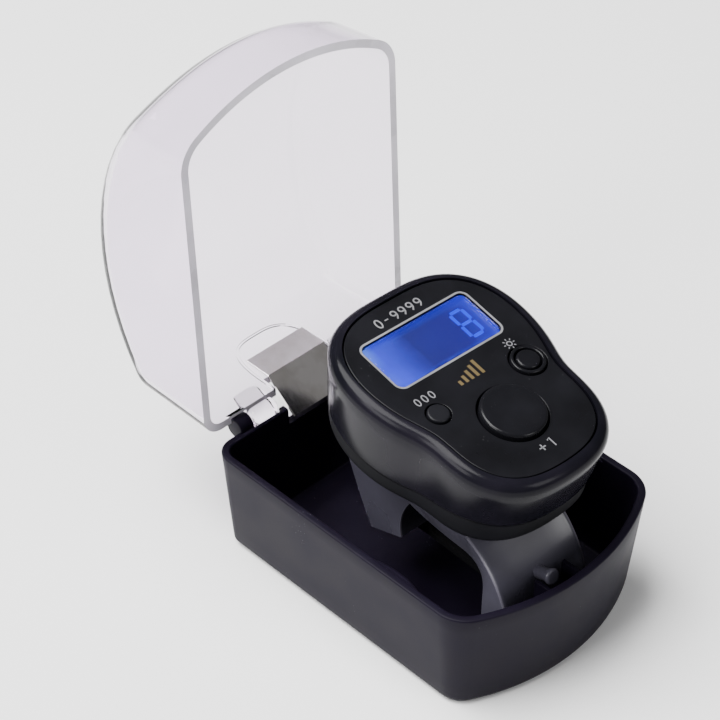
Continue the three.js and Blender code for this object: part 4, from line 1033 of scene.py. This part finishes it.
buttons = (
    ("count_cap", "count_button", "count_key", button_gloss, "button_gloss",
     button_cap(count_u, count_w, count_radius, 0.9 * mm, 0.55 * mm, 0.25 * mm, 0.8 * mm, 0.9 * mm,
                1.5 * mm, -4.25 * mm)),
    ("reset_cap", "reset_button", "reset_key", button_matt, "button_matt",
     button_cap(reset_u, reset_w, reset_radius, 0.3 * mm, 0.3 * mm, 0, 0.6 * mm, 0.7 * mm,
                0.9 * mm, -3.75 * mm)),
    ("light_cap", "light_button", "light_key", button_gloss, "button_gloss",
     button_cap(light_u, light_w, light_radius, 0.5 * mm, 0.4 * mm, 0, 0.8 * mm, 0.7 * mm,
                0.9 * mm, -3.75 * mm)))
for name, node, body, material, slot_name, part in buttons:
    made = piece(name, placed(on_head, [part]), material, 50)
    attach(made, body)
    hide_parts(node)

a = np.linspace(0, 2 * np.pi, 81)[:-1]
collar_in, collar_out, collar_side = 2.2 * mm, 2.8 * mm, 0.15 * mm
collar_along, collar_up = bend(5, 0.25 * mm)
collar_r = np.concatenate([[collar_in, collar_out], collar_out - collar_along,
                           (collar_in + collar_along)[::-1]])
collar_z = np.concatenate([[-plate_thick, -plate_thick], collar_side + collar_up,
                           (collar_side + collar_up)[::-1]])
collar_rings = np.stack(np.broadcast_arrays(
    light_u + collar_r[:, None] * np.cos(a), light_w + collar_r[:, None] * np.sin(a), collar_z[:, None]), -1)
collar_ring = piece("collar_ring", placed(on_head, [skin(collar_rings, round_again=True)]),
                    button_gloss, 50)
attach(collar_ring, "counter")
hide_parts("light_collar")

# ---- Ring saddle ----
# The finger ring's body: one slate-grey satin moulding screwed under the counter. Its front arm is
# a broad dished arch that carries the strap's peg, and its back arm tapers to the strap's root.
ring_w, ring_n, ring_half = -6.67 * mm, -36.46 * mm, 8.8 * mm
arch_radius, arch_top, arm_foot, arm_rim = 18 * mm, math.radians(60), 1.45 * mm, 0.7 * mm
dish_top, dish_foot, dish_full = 0.5 * mm, 1.95 * mm, 8.7 * mm
neck_w, back_w = -9 * mm, 19.6 * mm
peg_z, peg_rise, peg_stem, peg_length, peg_head, peg_head_high = (
    8.6 * mm, math.radians(20), 1.05 * mm, 3.3 * mm, 1.35 * mm, 1.1 * mm)


def level(y, z):
    """A point of the ring's level side view, in the head's axes: towards the back and up from the face."""
    c, s = math.cos(face_tilt), math.sin(face_tilt)
    return np.stack(np.broadcast_arrays(ring_w + y * c + z * s, ring_n - y * s + z * c), -1)


def swept(start, pull, end, steps):
    """A curve from start to end drawn towards a third point: a parabola of that many points."""
    t = np.linspace(0, 1, steps)[:, None]
    return (1 - t) ** 2 * start + 2 * t * (1 - t) * pull + t**2 * end


def dish(x, z):
    """Depth of the dish in the front arm: full across its middle, none at the rims, deeper to the foot."""
    across = np.maximum(0, 1 - (np.abs(x) / (ring_half - arm_rim)) ** 4)
    down_share = np.maximum(0, dish_full - z) / (dish_full - arm_foot)
    return across * (dish_top + (dish_foot - dish_top) * down_share)


def saddle_view(x, ease):
    """The saddle's side view at x, drawn in by an ease: the outer edge from the front foot over the arch,
    neck and seat to the end of the back arm, then the inner edge back through the finger hole."""
    a = np.linspace(math.asin(arm_foot / arch_radius), arch_top, 25)
    z = arch_radius * np.sin(a)
    fade = np.minimum(1, (24 - np.arange(25)) / 6)
    r = arch_radius - fade * dish(x, z)
    front = level(-r * np.cos(a), r * np.sin(a))
    seat_front = np.array([neck_w, under_height(neck_w) - 0.3 * mm])
    neck = swept(front[-1], level(-5.9 * mm, 17.4 * mm), seat_front, 10)[1:]
    w = np.linspace(neck_w, back_w, 24)
    seat = np.stack([w, under_height(w) - 0.3 * mm], -1)[1:]
    back = swept(seat[-1], level(21.9 * mm, 20 * mm), level(13 * mm, 3.3 * mm), 20)[1:]
    outer = np.concatenate([front, neck, seat, back])
    hole_y, hole_turn, hole_top = -12 * mm, 8.4 * mm, 13.2 * mm
    hole_front = np.stack([level(hole_y, z_low) for z_low in np.linspace(arm_foot, hole_turn, 14)])
    hole_round = swept(level(hole_y, hole_turn), level(hole_y, hole_top), level(-7 * mm, hole_top), 18)[1:]
    ceiling = swept(level(-7 * mm, hole_top), level(0, hole_top), level(4.3 * mm, 14.3 * mm), 26)[1:]
    hole_back = swept(level(4.3 * mm, 14.3 * mm), level(7 * mm, 10.2 * mm), level(6 * mm, 5.9 * mm), 20)[1:]
    inner = np.concatenate([hole_front, hole_round, ceiling, hole_back])
    steps = np.linspace(0, 1, len(outer))
    inner = np.stack([np.interp(steps, np.linspace(0, 1, len(inner)), inner[:, k]) for k in (0, 1)], -1)
    across = inner - outer
    across = across / np.linalg.norm(across, axis=1)[:, None] * ease
    return np.concatenate([outer + across, (inner - across)[::-1]])


ring_slate = moulded("ring_slate", (0.060, 0.057, 0.078, 1), (0.080, 0.076, 0.102, 1), 0.3, 0.08,
                     0.003 * mm, 0.15)
# Painted highlight: a lighter grey-violet band just inside both long rims of the ring, standing in for light
# caught on its eased edges.
tree = ring_slate.node_tree
shader = tree.nodes["Principled BSDF"]
satin = shader.inputs["Base Color"].links[0].from_socket
across = head_axes(tree, object_place(tree))["X"]
off_middle = sum_of(tree, "ABSOLUTE", across, 0)
rim_start = spread_to(tree, off_middle, ring_half - 0.45 * mm, ring_half - 0.3 * mm, 0, 1)
rim_end = spread_to(tree, off_middle, ring_half - 0.02 * mm, ring_half - 0.06 * mm, 0, 1)
painted_rim_highlight = sum_of(tree, "MULTIPLY", rim_start, rim_end)
tree.links.new(mix_colours(tree, painted_rim_highlight, satin, (0.16, 0.15, 0.19, 1)), shader.inputs["Base Color"])
shares = np.array([-1, -0.96, -0.9, -0.8, -0.65, -0.45, -0.2, 0, 0.2, 0.45, 0.65, 0.8, 0.9, 0.96, 1])
stations = np.concatenate([[-ring_half, -ring_half + 0.06 * mm, -ring_half + 0.2 * mm],
                           shares * (ring_half - arm_rim),
                           [ring_half - 0.2 * mm, ring_half - 0.06 * mm, ring_half]])
eases = np.concatenate([[0.2 * mm, 0.06 * mm, 0], np.zeros(len(shares)), [0, 0.06 * mm, 0.2 * mm]])
views = np.stack([saddle_view(x, ease) for x, ease in zip(stations, eases)])
saddle_points, saddle_faces = skin_side(stations, views)
ring_body = piece("ring_body", placed(on_head, [(saddle_points, saddle_faces)]), ring_slate)
slot_yz = np.array([(-20, 2.25), (-10, 2.25), (-10, 4.15), (-20, 4.15)]) * mm
slot_view = level(slot_yz[:, 0], slot_yz[:, 1])
slot_rings = np.stack([np.column_stack([np.full(4, x), slot_view]) for x in (-2.8 * mm, 2.8 * mm)])
carve(ring_body, placed(on_head, [skin(slot_rings)]))
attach(ring_body, "counter")
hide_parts("ring_saddle")

peg_edge, peg_head_low = 0.45 * mm, peg_length - peg_head_high
along, up = bend(6, peg_edge)
peg_r = np.concatenate([[peg_stem, peg_stem], [peg_stem + 0.1 * mm], peg_head - 0.2 * mm + along[:3] * 0.5,
                        peg_head - along])
peg_s = np.concatenate([[-1 * mm, peg_head_low - 0.2 * mm], [peg_head_low],
                        [peg_head_low + k * 0.06 * mm for k in range(3)], peg_length - peg_edge + up])
face_at_peg = math.sqrt(arch_radius**2 - peg_z**2) - dish(0, peg_z)
a = np.linspace(0, 2 * np.pi, 49)[:-1]
peg_y = -face_at_peg - peg_s[:, None] * math.cos(peg_rise) + peg_r[:, None] * np.sin(a) * math.sin(peg_rise)
peg_up = peg_z + peg_s[:, None] * math.sin(peg_rise) + peg_r[:, None] * np.sin(a) * math.cos(peg_rise)
peg_rings = np.concatenate([(peg_r[:, None] * np.cos(a))[..., None], level(peg_y, peg_up)], -1)
strap_peg = piece("strap_peg", placed(on_head, [skin(peg_rings)]), ring_slate, 50)
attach(strap_peg, "counter")

# ---- Ring strap ----
# A black rubber strap from under the back arm, below the finger and into the slot of the front
# arm, with a row of holes for the peg. It keeps the frame's own shape.
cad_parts["ring_strap"].data.materials.clear()
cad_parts["ring_strap"].data.materials.append(rubber_black)
